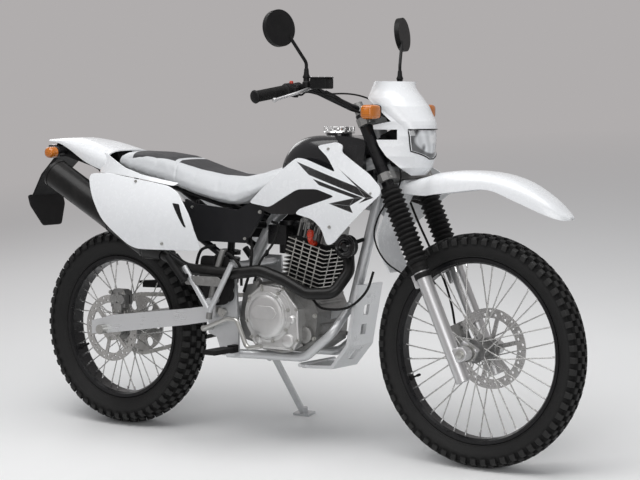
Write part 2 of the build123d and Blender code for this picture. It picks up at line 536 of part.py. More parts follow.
seat = sections([(-660, 84, 858, 904, 18), (-560, 112, 838, 905, 26), (-400, 124, 806, 884, 26),
                 (-300, 128, 764, 858, 30), (-130, 126, 748, 838, 30), (-20, 104, 800, 862, 26),
                 (28, 92, 850, 898, 20)])
nodes["seat"] = seat
TAIL_CREST = [(-985, 946), (-900, 951), (-845, 950), (-760, 938), (-664, 914)]
cowl = u_shell([(-985, 50, 946, 938), (-900, 88, 951, 932), (-845, 98, 950, 912), (-760, 112, 938, 872),
                (-664, 126, 914, 844)], 4.0, ruled=True)
side_strip = shell([(-680, [(-106, 905), (-129, 838)]), (-540, [(-136, 905), (-156, 838)])],
                   [(-676, 903), (-620, 884), (-545, 852), (-560, 840), (-676, 846)], 4.0)
cowl = cowl + side_strip + mirror(side_strip, about=Plane.XZ)
nodes["rear_fender"] = cowl
crest_under = [(x, z - 4 - FIT) for x, z in TAIL_CREST]
inner_fender = plate([(-958, 900), (-958, 940)] + crest_under[1:4] + [(-690, 908), (-672, 870), (-672, 822),
                     (-760, 858), (-900, 896)], -38, 38)
inner_fender += plate([(-958, 900), (-958, 926), (-880, 922), (-760, 900), (-672, 870), (-672, 822), (-760, 858),
                       (-900, 896)], -80, 80)
inner_fender -= both_sides(tube(rail_path, [35, 200, 200], RAIL_R + FIT))
inner_fender -= across(-880, 904, -100, 100, 8 + FIT)
nodes["rear_inner_fender"] = inner_fender
nodes["tail_lamp"] = box(-984, -958 - FIT, -54, 54, 896, 930)
cover_outline = [(-330, 634), (-90, 634), (-24, 722), (-24, 782), (-40, 776), (-120, 736), (-290, 750),
                 (-330, 764)]
airbox = plate(cover_outline, -120, -108) + plate(cover_outline, 108, 120)
airbox += box(-330, -275, -120, 120, 640, 652) + box(-330, -275, -56, 56, 640, 730)
airbox -= both_sides(tube(strut_path, [300], RAIL_R + 2)) + [round_bar((-262, 0, 352), (-230, 0, 672), 34)]
nodes["airbox"] = airbox
bracket = plate([(-1014, 826), (-1056, 755), (-1050, 752), (-1008, 822), (-928, 888), (-928, 897.2),
                 (-938, 897.9)], -60, 60)
bracket += plate([(-1056, 755), (-1050.25, 756.7), (-1018.25, 649.7), (-1024, 648)], -84, 84)
for s in (-1, 1):              # holes for the number plate
    bracket -= round_bar((-1061.1, s * 60, 730.2), (-1038.1, s * 60, 737), PLATE_HOLE_R)
nodes["plate_bracket"] = bracket
signal_bar = across(-880, 904, -128, 128, 8)
for s in (-1, 1):
    signal_bar += across(-880, 904, s * 128, s * 168, 19)
nodes["rear_signals"] = signal_bar

# -------------------------------------------------------------------- foot controls
pegs = []
for s in (-1, 1):
    pegs.append(box(-146, -98, s * 158, s * 262, 297, 311)
                + box(-130, -112, s * (PLATE_Y + PLATE_T + FIT), s * 160, 292, 316))
brackets = []
for s in (-1, 1):
    y = s * 178
    vee = (round_bar((-186, y, 420), (-286, y, 556), 9) + round_bar((-186, y, 420), (-96, y, 574), 9)
           + plate([(-268, 500), (-138, 500), (-130, 516), (-280, 516)], s * 174, s * 182)
           + across(-190, 452, s * (PLATE_Y + PLATE_T + FIT), y, 10))
    brackets.append(vee)
nodes["passenger_brackets"] = brackets
nodes["pegs"] = pegs + [round_bar((-337, s * 200, 588), (-268, s * 200, 512), 11)
                        + across(-268, 528, s * (187 + FIT), s * 200, 7) for s in (-1, 1)]
pedal = tube([(-218, -165, 364), (-118, -172, 402), (-80, -176, 400), (-38, -178, 316), (20, -182, 326)],
             [20, 15, 20], 7)
pedal += across(-218, 364, -170, -PLATE_Y - PLATE_T - FIT, 9)
lever = tube([(-60, 134, 352), (20, 146, 350), (72, 160, 362)], [30], 6)
nodes["foot_controls"] = [pedal, lever + across(72, 362, 150, 192, 9) + across(-60, 352, 104 + FIT, 138, 9)]

# ---------------------------------------------------------------------- side stand
px_, py_, pz_ = STAND_PIVOT
foot_z = STAND_FOOT_Y * tan(radians(LEAN)) - PARK_SHIFT[2] / cos(radians(LEAN))
foot = Vector(STAND_FOOT_X, STAND_FOOT_Y, foot_z)
pivot = Vector(*STAND_PIVOT)
STAND_DOWN = (foot - pivot).normalized()
STAND_UP = Vector(-0.985, 0.10, 0.14).normalized()
stand_axis = STAND_DOWN.cross(STAND_UP).normalized()
STAND_SWING = degrees(STAND_DOWN.get_angle(STAND_UP) * pi / 180)
eye = STAND_R + 1          # half thickness of the eye on the hinge pin
stand = round_bar(pivot, foot - STAND_DOWN * 12, STAND_R)
stand += round_bar(pivot - stand_axis * eye, pivot + stand_axis * eye, 18)
pad_plane = Plane(origin=(STAND_FOOT_X, STAND_FOOT_Y, foot_z), x_dir=(1, 0, 0),
                  z_dir=(0, -sin(radians(LEAN)), cos(radians(LEAN))))
stand += extrude(pad_plane * Rectangle(62, 40), amount=8)
stand += extrude(pad_plane * Circle(13), amount=24)
stand -= round_bar(pivot - stand_axis * 20, pivot + stand_axis * 20, STAND_PIN_R + FIT)
nodes["side_stand"] = stand
lug = round_bar(pivot - stand_axis * (eye + 12), pivot - stand_axis * (eye + 1), 17)
lug += round_bar(pivot - stand_axis * (eye + 10), Vector(-112, CRADLE_Y + 8, CRADLE_Z - 10), 5)
lug += round_bar(pivot - stand_axis * (eye + 11), pivot + stand_axis * (eye + 1), STAND_PIN_R)
lug += round_bar(pivot + stand_axis * (eye + FIT), pivot + stand_axis * (eye + 6), 11)
nodes["main_frame"] += lug

# ------------------------------------------------------------ front: fender, mask
TOP_X, _, TOP_Z = on_fork(TOP_CLAMP, STEM)
steered = Pos(TOP_X, 0, TOP_Z)     # pieces below are drawn from the top clamp's centre
front_fender = steered * u_shell([  # x, half width, crest, edge
    (128, 50, -151, -186), (200, 56, -133, -190), (250, 74, -121, -184), (330, 82, -114, -174),
    (430, 78, -120, -166), (520, 70, -144, -198), (600, 54, -188, -232), (664, 20, -238, -247)], 4.0)
guard_line = [(112, -160), (60, -262), (40, -320), (52, -372), (84, -424)]
guard = [(x + 4, z + 2) for x, z in reversed(guard_line)]
front_fender += steered * plate(guard_line + guard, -56, 56)
front_fender += fork_block(528, LOW_CLAMP - FIT, -26, 24, -40, 40)
front_fender -= fork_bar(LOW_CLAMP - 60, LOW_CLAMP, STEM_R + 2, 0, STEM)
nodes["front_fender"] = front_fender

mask_rows = [  # z, ridge x, crease x, crease y, rear edge x, rear edge y
    (-132, 165, 157, 32, 150, 40), (-109, 187, 169, 49, 134, 76), (-75, 198, 172, 55, 100, 99),
    (-46, 203, 168, 60, 82, 109), (-14, 204, 160, 68, 68, 112), (17, 199, 138, 79, 62, 112),
    (28, 195, 126, 85, 112, 92), (72, 168, 76, 106, 68, 109), (96, 146, 52, 114, 46, 116),
    (146, 92, 74, 110, 68, 112)]


def mask_skin(sink, wall):
    """The mask's skin, sunk behind its outer face."""
    faces = []
    for z, ridge, crease, wide, rear, rear_y in mask_rows:
        o, i = sink, sink + wall

        def row(d):
            return ((rear, rear_y - d), (crease - 0.6 * d, wide - 0.8 * d), (ridge - d, 0))
        (r0, e0, c0), (r1, e1, c1) = row(o), row(i)
        faces.append(make_face([
            Line((r0[0], -r0[1], z), (e0[0], -e0[1], z)),
            ThreePointArc((e0[0], -e0[1], z), (c0[0], 0, z), (e0[0], e0[1], z)),
            Line((e0[0], e0[1], z), (r0[0], r0[1], z)), Line((r0[0], r0[1], z), (r1[0], r1[1], z)),
            Line((r1[0], r1[1], z), (e1[0], e1[1], z)),
            ThreePointArc((e1[0], e1[1], z), (c1[0], 0, z), (e1[0], -e1[1], z)),
            Line((e1[0], -e1[1], z), (r1[0], -r1[1], z)), Line((r1[0], -r1[1], z), (r0[0], -r0[1], z))]))
    return loft(faces, ruled=True)


def lens_cut(margin):
    """The lens opening, as a prism along X."""
    points = [(-68, 2), (68, 2), (60, -58), (10, -80), (-10, -80), (-60, -58)]
    face = make_face(Polyline(*[(100, y * (1 - margin / 68), (z + 36) * (1 - margin / 40) - 36)
                                for y, z in points], close=True))
    return extrude(face, amount=140, dir=(1, 0, 0))


mask = mask_skin(0, 4.0) - lens_cut(0)
mask -= both_sides(box(30, 128, 76, 140, -26, 4))
nodes["headlight_mask"] = steered * mask
nodes["headlight_lens"] = steered * (mask_skin(3.0, 3.0) & lens_cut(1.0))
housing = (fork_block(600, 700, 10, 66, -56, 56) + fork_block(600, 700, 66, 84, -40, 40)
           + fork_block(690, 748, 56, 76, -62, 62))
for side in (-1, 1):
    housing += fork_block(612, 690, -12, 40, side * 50, side * (LEG_Y - STANCHION_R - FIT))
    housing += fork_block(640, 660, 56, 66, side * 50, side * 79)
nodes["headlight_housing"] = housing - fork_bar(590, 760, HEAD_TUBE_R + 6, 0, STEM)
nodes["instrument"] = (steered * round_bar((20, 30, 102), (44, 30, 86), 40)
                       + round_bar(on_fork(TOP_CLAMP + CLAMP_T + 6, 8, 22), (TOP_X + 26, 28, TOP_Z + 92), 8)
                       + fork_bar(TOP_CLAMP + CLAMP_T + FIT, TOP_CLAMP + CLAMP_T + 14, 10, 22, 8))
front_signals = []
for s in (-1, 1):
    at_x, _, at_z = on_fork(738, 66)
    front_signals.append(steered * box(52, 104, s * 122, s * 180, 34, 78)
                         + across(at_x, at_z, s * (62 + FIT), s * 124, 7))
nodes["front_signals"] = front_signals

LEVER_IN = GRIP_OUT - 172       # where the lever perches sit on the bar
controls = []
for s in (-1, 1):
    perch = steered * (box(-130, -56, s * LEVER_IN, s * (LEVER_IN + 34), 110, 156)
                       + round_bar((-70, s * (LEVER_IN + 8), 122), (-82, s * (LEVER_IN + 152), 100), 6))
    if s < 0:
        perch += steered * box(-65, 4, -LEVER_IN - 38, -LEVER_IN + 6, 120, 156)
    controls.append(perch - bar_clearance)
nodes["bar_controls"] = controls
mirrors = []
for s in (-1, 1):
    stem = tube([(-80, s * (LEVER_IN + 22), 156 + FIT), (-80, s * (LEVER_IN + 22), 199),
                 (-105, s * (LEVER_IN + 72), 276)], [25], 5)
    glass = round_bar((-114, s * (LEVER_IN + 102), 299), (-130, s * (LEVER_IN + 98), 297), 54)
    mirrors.append(steered * (stem + glass))
nodes["mirrors"] = mirrors

disc_in, disc_out = FRONT_DISC_Y - DISC_T / 2 - 1.5, FRONT_DISC_Y + DISC_T / 2 + 1.5
front_caliper = fork_block(28, 110, -90, -29, disc_out, disc_out + 20)
front_caliper += fork_block(34, 104, -90, -34, disc_in - 14, disc_in)
front_caliper += fork_block(34, 104, -98, -88, disc_in - 14, disc_out + 20)
for low in (36, 90):
    front_caliper += fork_block(low, low + 14, -30, -SLIDER_R - FIT, LEG_Y - 16, LEG_Y - 4)
    front_caliper += fork_block(low, low + 14, -50, -28, disc_out, LEG_Y - 4)
nodes["front_caliper"] = front_caliper

# ------------------------------------------------------- cables and hose, held all the way
def held_cord(points, diameter):
    """A cord along its route, each arc as large as its two runs allow."""
    runs = [(Vector(*b) - Vector(*a)).length for a, b in zip(points, points[1:])]
    radii = []
    for a, b, c, one, two in zip(points, points[1:], points[2:], runs, runs[1:]):
        turn = radians((Vector(*b) - Vector(*a)).get_angle(Vector(*c) - Vector(*b)))
        radii.append(0.45 * min(one, two) / tan(turn / 2))
    cord = tube(points, radii, diameter / 2)
    drawn = FilletPolyline(*points, radius=radii).length
    print("cord", round(drawn), "long, radii", [round(r) for r in radii], "longest run", round(max(runs)),
          "volume over section times length", round(cord.volume / (pi * diameter ** 2 / 4 * drawn), 4))
    return cord


hose_route = [(TOP_X - 20, -LEVER_IN - 10, TOP_Z + 116), (TOP_X + 4, -LEVER_IN + 22, TOP_Z + 98)]
hose_route += [on_fork(*p) for p in (
    (768, 24, -152), (757, 43, -86), (754, 48, -22), (751, 46, 38), (732, 28, 66), (711, -30, 65),
    (640, -44, 61), (575, -43, 62), (510, -51, 70), (440, -53, 75), (370, -48, 76), (300, -45, 78),
    (230, -41, 76), (165, -47, 74), (111.5, -60, 73))]
speed_route = [on_fork(*p) for p in (
    (598, 40, -64), (560, 40, -70), (532, 8, -57), (512, -42, -62), (485, -84, -70), (443, -124, -72),
    (393, -132, -70), (343, -120, -68), (296, -84, -66), (250, -48, -63), (190, -34, -62), (125, -31, -64),
    (66, -34, -66), (26, -14, -67.5))]
routes = [(hose_route, 7.0), (speed_route, 5.0)]
for s in (-1, 1):
    routes.append(([(TOP_X - 53, s * (LEVER_IN + 18), TOP_Z + 113), (TOP_X - 18, s * (LEVER_IN + 2), TOP_Z + 108),
                    (TOP_X + 14, s * (LEVER_IN - 50), TOP_Z + 110), (TOP_X + 30, s * (LEVER_IN - 104), TOP_Z + 103),
                    (TOP_X + 56, s * (LEVER_IN - 148), TOP_Z + 84), on_fork(749.3, 66, s * 48)], 5.0))
nodes["steering_cables"] = [held_cord(*r) for r in routes]

# -------------------------------------------------------------- parked and written
park = Pos(*PARK_SHIFT) * Rot(-LEAN, 0, 0)
os.makedirs("parts", exist_ok=True)
for name, made in nodes.items():
    pieces = made if isinstance(made, list) else [made]
    solids = [park * s for piece in pieces for s in Compound(children=[piece]).solids()]
    export_step(Compound(children=solids), f"parts/{name}.step")
print("stand swing", round(STAND_SWING, 2), "axis", stand_axis)
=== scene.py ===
"""Looks of a dual sport motorcycle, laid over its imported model."""
import json
from math import asin, atan2, cos, hypot, pi, radians, sin

import bmesh
import bpy
from bpy.props import FloatProperty, FloatVectorProperty, IntProperty, PointerProperty
from mathutils import Matrix, Vector


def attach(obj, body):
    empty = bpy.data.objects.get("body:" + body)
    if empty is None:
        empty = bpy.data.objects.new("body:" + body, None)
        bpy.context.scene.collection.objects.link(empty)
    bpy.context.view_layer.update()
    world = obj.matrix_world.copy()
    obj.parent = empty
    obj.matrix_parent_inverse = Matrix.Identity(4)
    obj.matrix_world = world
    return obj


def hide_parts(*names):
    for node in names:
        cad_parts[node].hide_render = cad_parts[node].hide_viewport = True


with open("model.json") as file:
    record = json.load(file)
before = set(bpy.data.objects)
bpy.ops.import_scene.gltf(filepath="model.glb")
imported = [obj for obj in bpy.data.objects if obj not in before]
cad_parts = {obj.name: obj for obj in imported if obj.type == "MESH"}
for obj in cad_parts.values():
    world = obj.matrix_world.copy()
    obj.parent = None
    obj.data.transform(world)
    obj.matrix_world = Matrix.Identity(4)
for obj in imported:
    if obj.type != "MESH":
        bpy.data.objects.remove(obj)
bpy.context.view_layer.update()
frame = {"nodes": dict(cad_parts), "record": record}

bl_info = {
    "name": "Dual sport motorcycle",
    "version": (1, 0, 0),
    "blender": (4, 5, 0),
    "location": "3D View > Sidebar > Motorcycle",
    "description": "Dresses the packed motorcycle: finishes, tyres, seat, chain and small parts",
    "category": "Object",
}

# The machine is drawn upright in millimetres, X forward and Y to the left, then leaned as it parks.
MM = 0.001
LEAN = radians(9.0)
PARK = Matrix.Translation((0.013, -0.175, 0.00021)) @ Matrix.Rotation(-LEAN, 4, "X")
TO_PARK = PARK @ Matrix.Scale(MM, 4)
RAKE = radians(25.0)
FORK_FOOT, LEG_Y = (656.0, 331.5), 95.0
SIDES = (-1, 1)
FRONT_AXLE, REAR_AXLE = (685.0, 345.0), (-685.0, 324.0)
DRIVE_AXLE = (-105.0, 418.0)
SPROCKET_R, DRIVE_SPROCKET_R, CHAIN_Y = 99.0, 36.0, 79.0
CAMERA_AT, CAMERA_YAW, CAMERA_PITCH = (3.4645, -4.6987, 1.0681), radians(35.52), radians(4.19)
FOCAL_SHARE, SENSOR = 1872.1 / 640, 36.0   # focal length as a share of the frame's width
BACKDROP = (0.435, 0.418, 0.418, 1.0)
MASK_EDGE = 0.0012   # how soft the edges of painted bands are, in metres
NODES = frame["nodes"]


def on_fork(along, forward=0.0, y=0.0):
    """A point along the fork legs and ahead of their line."""
    return Vector((FORK_FOOT[0] - along * sin(RAKE) + forward * cos(RAKE), y,
                   FORK_FOOT[1] + along * cos(RAKE) + forward * sin(RAKE)))


# ------------------------------------------------------------------------------ settings
def colour(name, description, value):
    return FloatVectorProperty(name=name, description=description, default=value, subtype="COLOR",
                               size=3, min=0.0, max=1.0)


def metres(name, description, value):
    return FloatProperty(name=name, description=description, default=value, unit="LENGTH")


def watts(name, description, value):
    return FloatProperty(name=name, description=description, default=value, unit="POWER")


class MotoPaint(bpy.types.PropertyGroup):
    """Colours of the machine."""
    white: colour("White plastic", "Fenders, mask, shrouds and side panels", (0.84, 0.85, 0.865))
    tank: colour("Tank", "Fuel tank paint", (0.012, 0.012, 0.014))
    frame: colour("Frame", "Main frame, brackets and stand", (0.56, 0.57, 0.58))
    seat_side: colour("Seat sides", "Light vinyl", (0.64, 0.65, 0.665))
    seat_top: colour("Seat inserts", "Dark vinyl", (0.030, 0.030, 0.033))
    amber: colour("Signals", "Turn signal lenses", (0.62, 0.175, 0.006))
    red: colour("Tail lamp", "Tail lamp lens", (0.45, 0.008, 0.010))
    cap: colour("Spark cap", "Spark plug cap", (0.50, 0.030, 0.008))


class MotoTyres(bpy.types.PropertyGroup):
    """Sizes of the tyres, in metres."""
    front_radius: metres("Front radius", "To the top of the blocks", 0.345)
    front_width: metres("Front width", "Across the front tyre", 0.078)
    front_pitches: IntProperty(name="Front pitches", description="Tread repeats round the tyre", default=60)
    rear_radius: metres("Rear radius", "To the top of the blocks", 0.324)
    rear_width: metres("Rear width", "Across the rear tyre", 0.114)
    rear_pitches: IntProperty(name="Rear pitches", description="Tread repeats round the tyre", default=52)
    block_height: metres("Block height", "Of the tread blocks", 0.009)


class MotoSeat(bpy.types.PropertyGroup):
    """How the seat is padded."""
    voxel: metres("Cloth grid", "Size of the cloth's faces", 0.006)
    pressure: FloatProperty(name="Pressure", description="Foam pressure under the cover", default=4.0)
    swell: metres("Most swell", "How far a point may move", 0.006)


class MotoStage(bpy.types.PropertyGroup):
    """Lights and floor."""
    key: watts("Overhead light", "Power of the large overhead light", 100.0)
    side: watts("Side light", "Power of the light from the right", 34.0)
    floor: colour("Floor", "Pale floor", (0.90, 0.895, 0.89))


# ------------------------------------------------------------------------------ node graphs
class Value:
    """A socket of a node graph, with arithmetic."""

    def __init__(self, graph, socket):
        self.graph, self.socket = graph, socket

    def math(self, operation, *others, clamp=False):
        return self.graph.node("ShaderNodeMath", {"operation": operation, "use_clamp": clamp},
                               dict(enumerate((self,) + others)))

    def __add__(self, other): return self.math("ADD", other)
    def __sub__(self, other): return self.math("SUBTRACT", other)
    def __mul__(self, other): return self.math("MULTIPLY", other)
    def __truediv__(self, other): return self.math("DIVIDE", other)
    def __pow__(self, other): return self.math("POWER", other)
    __radd__, __rmul__ = __add__, __mul__

    def __rsub__(self, other):
        return self.graph.node("ShaderNodeMath", {"operation": "SUBTRACT"}, {0: other, 1: self})

    def over(self, edge, soft):
        """0 below the edge, 1 above it, over a soft width."""
        return ((self - (edge - soft / 2)) * (1.0 / soft)).math("MULTIPLY", 1.0, clamp=True)

    def under(self, edge, soft):
        return 1.0 - self.over(edge, soft)


class Graph:
    """A node tree that is written as expressions."""

    def __init__(self, tree):
        self.tree = tree

    def node(self, kind, settings=None, inputs=None, out=0):
        made = self.tree.nodes.new(kind)
        for name, value in (settings or {}).items():
            setattr(made, name, value)
        for name, value in (inputs or {}).items():
            if isinstance(value, Value):
                self.tree.links.new(value.socket, made.inputs[name])
            else:
                made.inputs[name].default_value = value
        return Value(self, made.outputs[out])

    def end(self, kind, last):
        """Ends the tree in an output node."""
        self.tree.links.new(last.socket, self.tree.nodes.new(kind).inputs[0])

    def joined(self, parts):
        """Several geometries as one."""
        both = self.node("GeometryNodeJoinGeometry")
        for part in parts:
            self.tree.links.new(part.socket, both.socket.node.inputs[0])
        return both

    def backdrop_rays(self):
        """1 for rays that show the background, straight on or in a mirror."""
        rays = self.node("ShaderNodeLightPath").socket.node
        return either(*[Value(self, rays.outputs[k]) for k in (
            "Is Camera Ray", "Is Glossy Ray", "Is Transmission Ray")])


class Finish(Graph):
    """One material; places are in metres on the upright machine."""

    def __init__(self, name):
        self.material = bpy.data.materials.new(name)
        self.material.use_nodes = True
        super().__init__(self.material.node_tree)
        self.tree.nodes.clear()
        place = self.node("ShaderNodeTexCoord", out=3)
        back = PARK.inverted()
        self.place = self.node("ShaderNodeMapping", {"vector_type": "POINT"}, {
            "Vector": place, "Location": back.translation, "Rotation": back.to_euler()})
        self.parts = None

    def xyz(self):
        """The place as three values."""
        if self.parts is None:
            self.parts = self.split(self.place)
        return self.parts

    def turned(self, centre, angles=(0.0, 0.0, 0.0), scale=(1.0, 1.0, 1.0)):
        """The place seen from a centre, in millimetres, with turned axes."""
        moved = self.node("ShaderNodeVectorMath", {"operation": "SUBTRACT"},
                          {0: self.place, 1: Vector(centre) * MM})
        return self.node("ShaderNodeMapping", {"vector_type": "POINT"}, {
            "Vector": moved, "Rotation": angles, "Scale": scale})

    def split(self, vector):
        apart = self.node("ShaderNodeSeparateXYZ", inputs={0: vector}).socket.node
        return tuple(Value(self, s) for s in apart.outputs)

    def about(self, axle):
        """The distance from an axle and the place along it, in metres."""
        x, y, z = self.split(self.turned((axle[0], 0, axle[1])))
        return (x * x + z * z) ** 0.5, y

    def noise(self, scale, detail=3.0, rough=0.55, at=None):
        return self.node("ShaderNodeTexNoise", {"noise_dimensions": "3D"}, {
            "Vector": at or self.place, "Scale": scale, "Detail": detail, "Roughness": rough})

    def cells(self, scale, at=None, feature="F1"):
        return self.node("ShaderNodeTexVoronoi", {"feature": feature}, {
            "Vector": at or self.place, "Scale": scale})

    def mix(self, share, first, second):
        """One colour blended into another."""
        ends = [v if isinstance(v, Value) else (*v, 1.0) for v in (first, second)]
        return self.node("ShaderNodeMix", {"data_type": "RGBA"}, {0: share, 6: ends[0], 7: ends[1]}, out=2)

    def bump(self, height, distance, strength, normal=None):
        inputs = {"Height": height, "Distance": distance, "Strength": strength}
        if normal:
            inputs["Normal"] = normal
        return self.node("ShaderNodeBump", inputs=inputs)

    def done(self, base, rough, metal, normal, **fixed):
        """Ends the material in its surface. Fixed inputs are plain numbers."""
        inputs = {"Base Color": base, "Roughness": rough, "Metallic": metal, "Normal": normal}
        for name, value in fixed.items():
            inputs[name.replace("_", " ")] = value
        self.end("ShaderNodeOutputMaterial", self.node("ShaderNodeBsdfPrincipled", inputs=inputs))
        return self.material


def area(corners, finish):
    """A mask of a convex area in X and Z, corners in millimetres, either way round."""
    x, _, z = finish.xyz()
    middle = [sum(c[k] for c in corners) / len(corners) for k in (0, 1)]
    inside = None
    for (x0, z0), (x1, z1) in zip(corners, corners[1:] + corners[:1]):
        nx, nz = z1 - z0, x0 - x1
        size = hypot(nx, nz)
        nx, nz = nx / size, nz / size
        level = (nx * x0 + nz * z0) * MM
        if nx * middle[0] + nz * middle[1] < nx * x0 + nz * z0:
            nx, nz, level = -nx, -nz, -level
        side = (x * nx + z * nz).over(level, MASK_EDGE)
        inside = side if inside is None else inside * side
    return inside


def either(*masks):
    """Where any of the masks is set."""
    out = masks[0]
    for other in masks[1:]:
        out = out.math("MAXIMUM", other)
    return out


# ------------------------------------------------------------------------------ finishes
def shade(tint, factor):
    return tuple(min(1.0, c * factor) for c in tint)


def gloss_plastic(name, tint, graphics=None):
    """Moulded and polished plastic, with faint flow marks and dust."""
    m = Finish(name)
    drift = m.noise(4.0, 2.0)
    base = m.mix(drift, shade(tint, 0.965), shade(tint, 1.02))
    if graphics:
        mask, fade = graphics(m)
        base = m.mix(mask, base, m.mix(fade, (0.030, 0.031, 0.033), (0.004, 0.004, 0.0045)))
    dust = m.noise(55.0, 4.0, 0.7).over(0.66, 0.25)
    base = m.mix(dust * 0.035, base, (0.45, 0.43, 0.40))
    rough = m.noise(26.0, 3.0) * 0.12 + 0.20 + dust * 0.15
    skin = m.bump(m.noise(340.0, 2.0), 0.00012, 0.5, m.bump(m.noise(14.0, 1.0), 0.0006, 0.35))
    return m.done(base, rough, 0.0, skin, Coat_Weight=0.35, Coat_Roughness=0.08, IOR=1.5)


def shroud_graphics(m):
    """Two pointed bands and their arrow heads on the shrouds."""
    parts = [
        [(133, 892), (384, 824), (419, 793), (193, 854)], [(384, 824), (307, 874), (447, 794)],
        [(384, 824), (447, 794), (419, 793)], [(447, 794), (395, 776), (419, 793)],
        [(211, 843), (411, 793), (377, 791), (239, 825)], [(411, 793), (363, 768), (377, 791)],
        [(363, 768), (282, 772), (377, 791)], [(363, 768), (374, 747), (282, 772)]]
    return either(*[area(part, m) for part in parts]), m.xyz()[0].over(0.215, 0.09)


def satin_paint(name, tint, rough, metal=0.0, coat=0.5, grit=900.0, dirt=0.10, shine=0.5):
    """Sprayed paint over welds, with orange peel and a little road dust."""
    m = Finish(name)
    drift = m.noise(7.0, 3.0)
    dust = m.noise(38.0, 5.0, 0.72).over(0.60, 0.3)
    base = m.mix(drift, shade(tint, 0.9), shade(tint, 1.08))
    base = m.mix(dust * dirt, base, (0.30, 0.28, 0.25))
    skin = m.bump(m.noise(grit, 2.0), 0.00010, 0.6)
    return m.done(base, m.noise(60.0) * 0.14 + (rough - 0.07) + dust * 0.12, metal, skin,
                  Coat_Weight=coat, Coat_Roughness=0.15, Specular_IOR_Level=shine)


def cast_metal(name, tint, dirt, rough=0.46, grain=1500.0):
    """Cast and blasted light alloy, darker where grime sits."""
    m = Finish(name)
    grime = m.noise(21.0, 6.0, 0.7).over(0.56, 0.35)
    base = m.mix(m.noise(9.0, 4.0), shade(tint, 0.86), shade(tint, 1.08))
    base = m.mix(grime * dirt, base, (0.10, 0.095, 0.085))
    pits = m.bump(m.cells(grain), 0.00018, 0.55, m.bump(m.noise(260.0, 4.0), 0.0003, 0.5))
    return m.done(base, m.noise(120.0, 3.0) * 0.2 + (rough - 0.1) + grime * 0.12, 0.86, pits)


def brushed_metal(name, tint, along=(6.0, 900.0, 900.0), angles=(0.0, 0.0, 0.0), rough=0.3, metal=0.92):
    """Rolled or brushed metal with long fine lines."""
    m = Finish(name)
    lines = m.noise(1.0, 3.0, 0.6, m.turned((0, 0, 0), angles, along))
    smear = m.noise(14.0, 4.0)
    base = m.mix(lines, shade(tint, 0.95), shade(tint, 1.03))
    return m.done(base, lines * 0.10 + smear * 0.12 + (rough - 0.11), metal, m.bump(lines, 0.00003, 0.5))


def machined_steel(name, tint, centre):
    """Turned steel: rings round an axle, with wear and heat tint."""
    m = Finish(name)
    radius, y = m.about(centre)
    rings = m.noise(1.0, 2.0, 0.5, m.node("ShaderNodeCombineXYZ", inputs={0: radius * 2600.0, 1: y * 300.0}))
    grime = m.noise(45.0, 5.0).over(0.58, 0.3)
    base = m.mix(rings, shade(tint, 0.84), shade(tint, 1.06))
    base = m.mix(grime * 0.25, base, (0.11, 0.09, 0.07))
    return m.done(base, rings * 0.14 + (0.26 - 0.07) + grime * 0.2, 0.7, m.bump(rings, 0.00005, 0.5))


def hub_and_spokes(name, centre, flange):
    """Cast hub near the axle, bright wire further out."""
    m = Finish(name)
    radius, _ = m.about(centre)
    wire = radius.over(flange * MM, 0.003)
    alloy = m.mix(m.noise(30.0, 4.0), (0.20, 0.20, 0.20), (0.40, 0.40, 0.395))
    steel = m.mix(m.noise(70.0, 3.0), (0.40, 0.40, 0.39), (0.62, 0.62, 0.61))
    return m.done(m.mix(wire, alloy, steel), m.noise(200.0) * 0.12 + 0.34 - wire * 0.12, 0.9,
                  m.bump(m.noise(900.0), 0.0001, 0.5))


def rubber_finish(name, tint=(0.007, 0.007, 0.0073), rough=0.60, dust=0.06, grain=1300.0):
    """Moulded rubber with a fine bloom."""
    m = Finish(name)
    bloom = m.noise(32.0, 5.0, 0.68).over(0.52, 0.4)
    base = m.mix(m.noise(11.0), shade(tint, 0.8), shade(tint, 1.25))
    base = m.mix(bloom * dust, base, (0.13, 0.12, 0.11))
    return m.done(base, m.noise(150.0) * 0.16 + (rough - 0.08), 0.0,
                  m.bump(m.noise(grain, 3.0), 0.00014, 0.6), Specular_IOR_Level=0.18)


def tyre_finish(name, centre, outer, half):
    """Tyre rubber: moulded rings on the walls, painted shade in the grooves, and block tops and flanks made
    lighter as scuffed rubber and painted highlight.
    """
    m = Finish(name)
    radius, y = m.about(centre)
    crown = (radius + (y * y) * (1.0 / (0.0024654 * half))).over((outer - 1.6) * MM, 0.002)
    flank = y.math("ABSOLUTE").over(0.93 * half * MM, 0.0015)
    flank = flank * radius.over((outer - 0.27 * half - 19) * MM, 0.002)
    blocks = either(crown, flank)
    rings = (radius * 2100.0).math("SINE") * radius.under((outer - 34) * MM, 0.006)
    scuff_and_highlight = m.noise(140.0, 4.0, 0.7)
    # painted shade: the grooves between the blocks are darkened
    groove = radius.over((outer - 0.3 * half - 22) * MM, 0.01) * (1.0 - blocks)
    base = m.mix(m.noise(14.0, 4.0), (0.006, 0.006, 0.0063), (0.012, 0.0118, 0.0116))
    base = m.mix(groove * 0.8, base, (0.0035, 0.0035, 0.0036))
    lump = m.cells(38.0)
    # block tops and flanks made lighter: partly scuffed rubber, partly a painted highlight where light
    # catches the blocks
    base = m.mix(blocks * (scuff_and_highlight * 0.45 + 0.15 + lump * 0.25), base, (0.022, 0.0217, 0.0212))
    skin = m.bump(rings, 0.0005, 0.6, m.bump(m.noise(900.0, 3.0), 0.0002, 0.6))
    return m.done(base, scuff_and_highlight * 0.16 + 0.44 + groove * 0.3, 0.0, skin, Specular_IOR_Level=0.3)


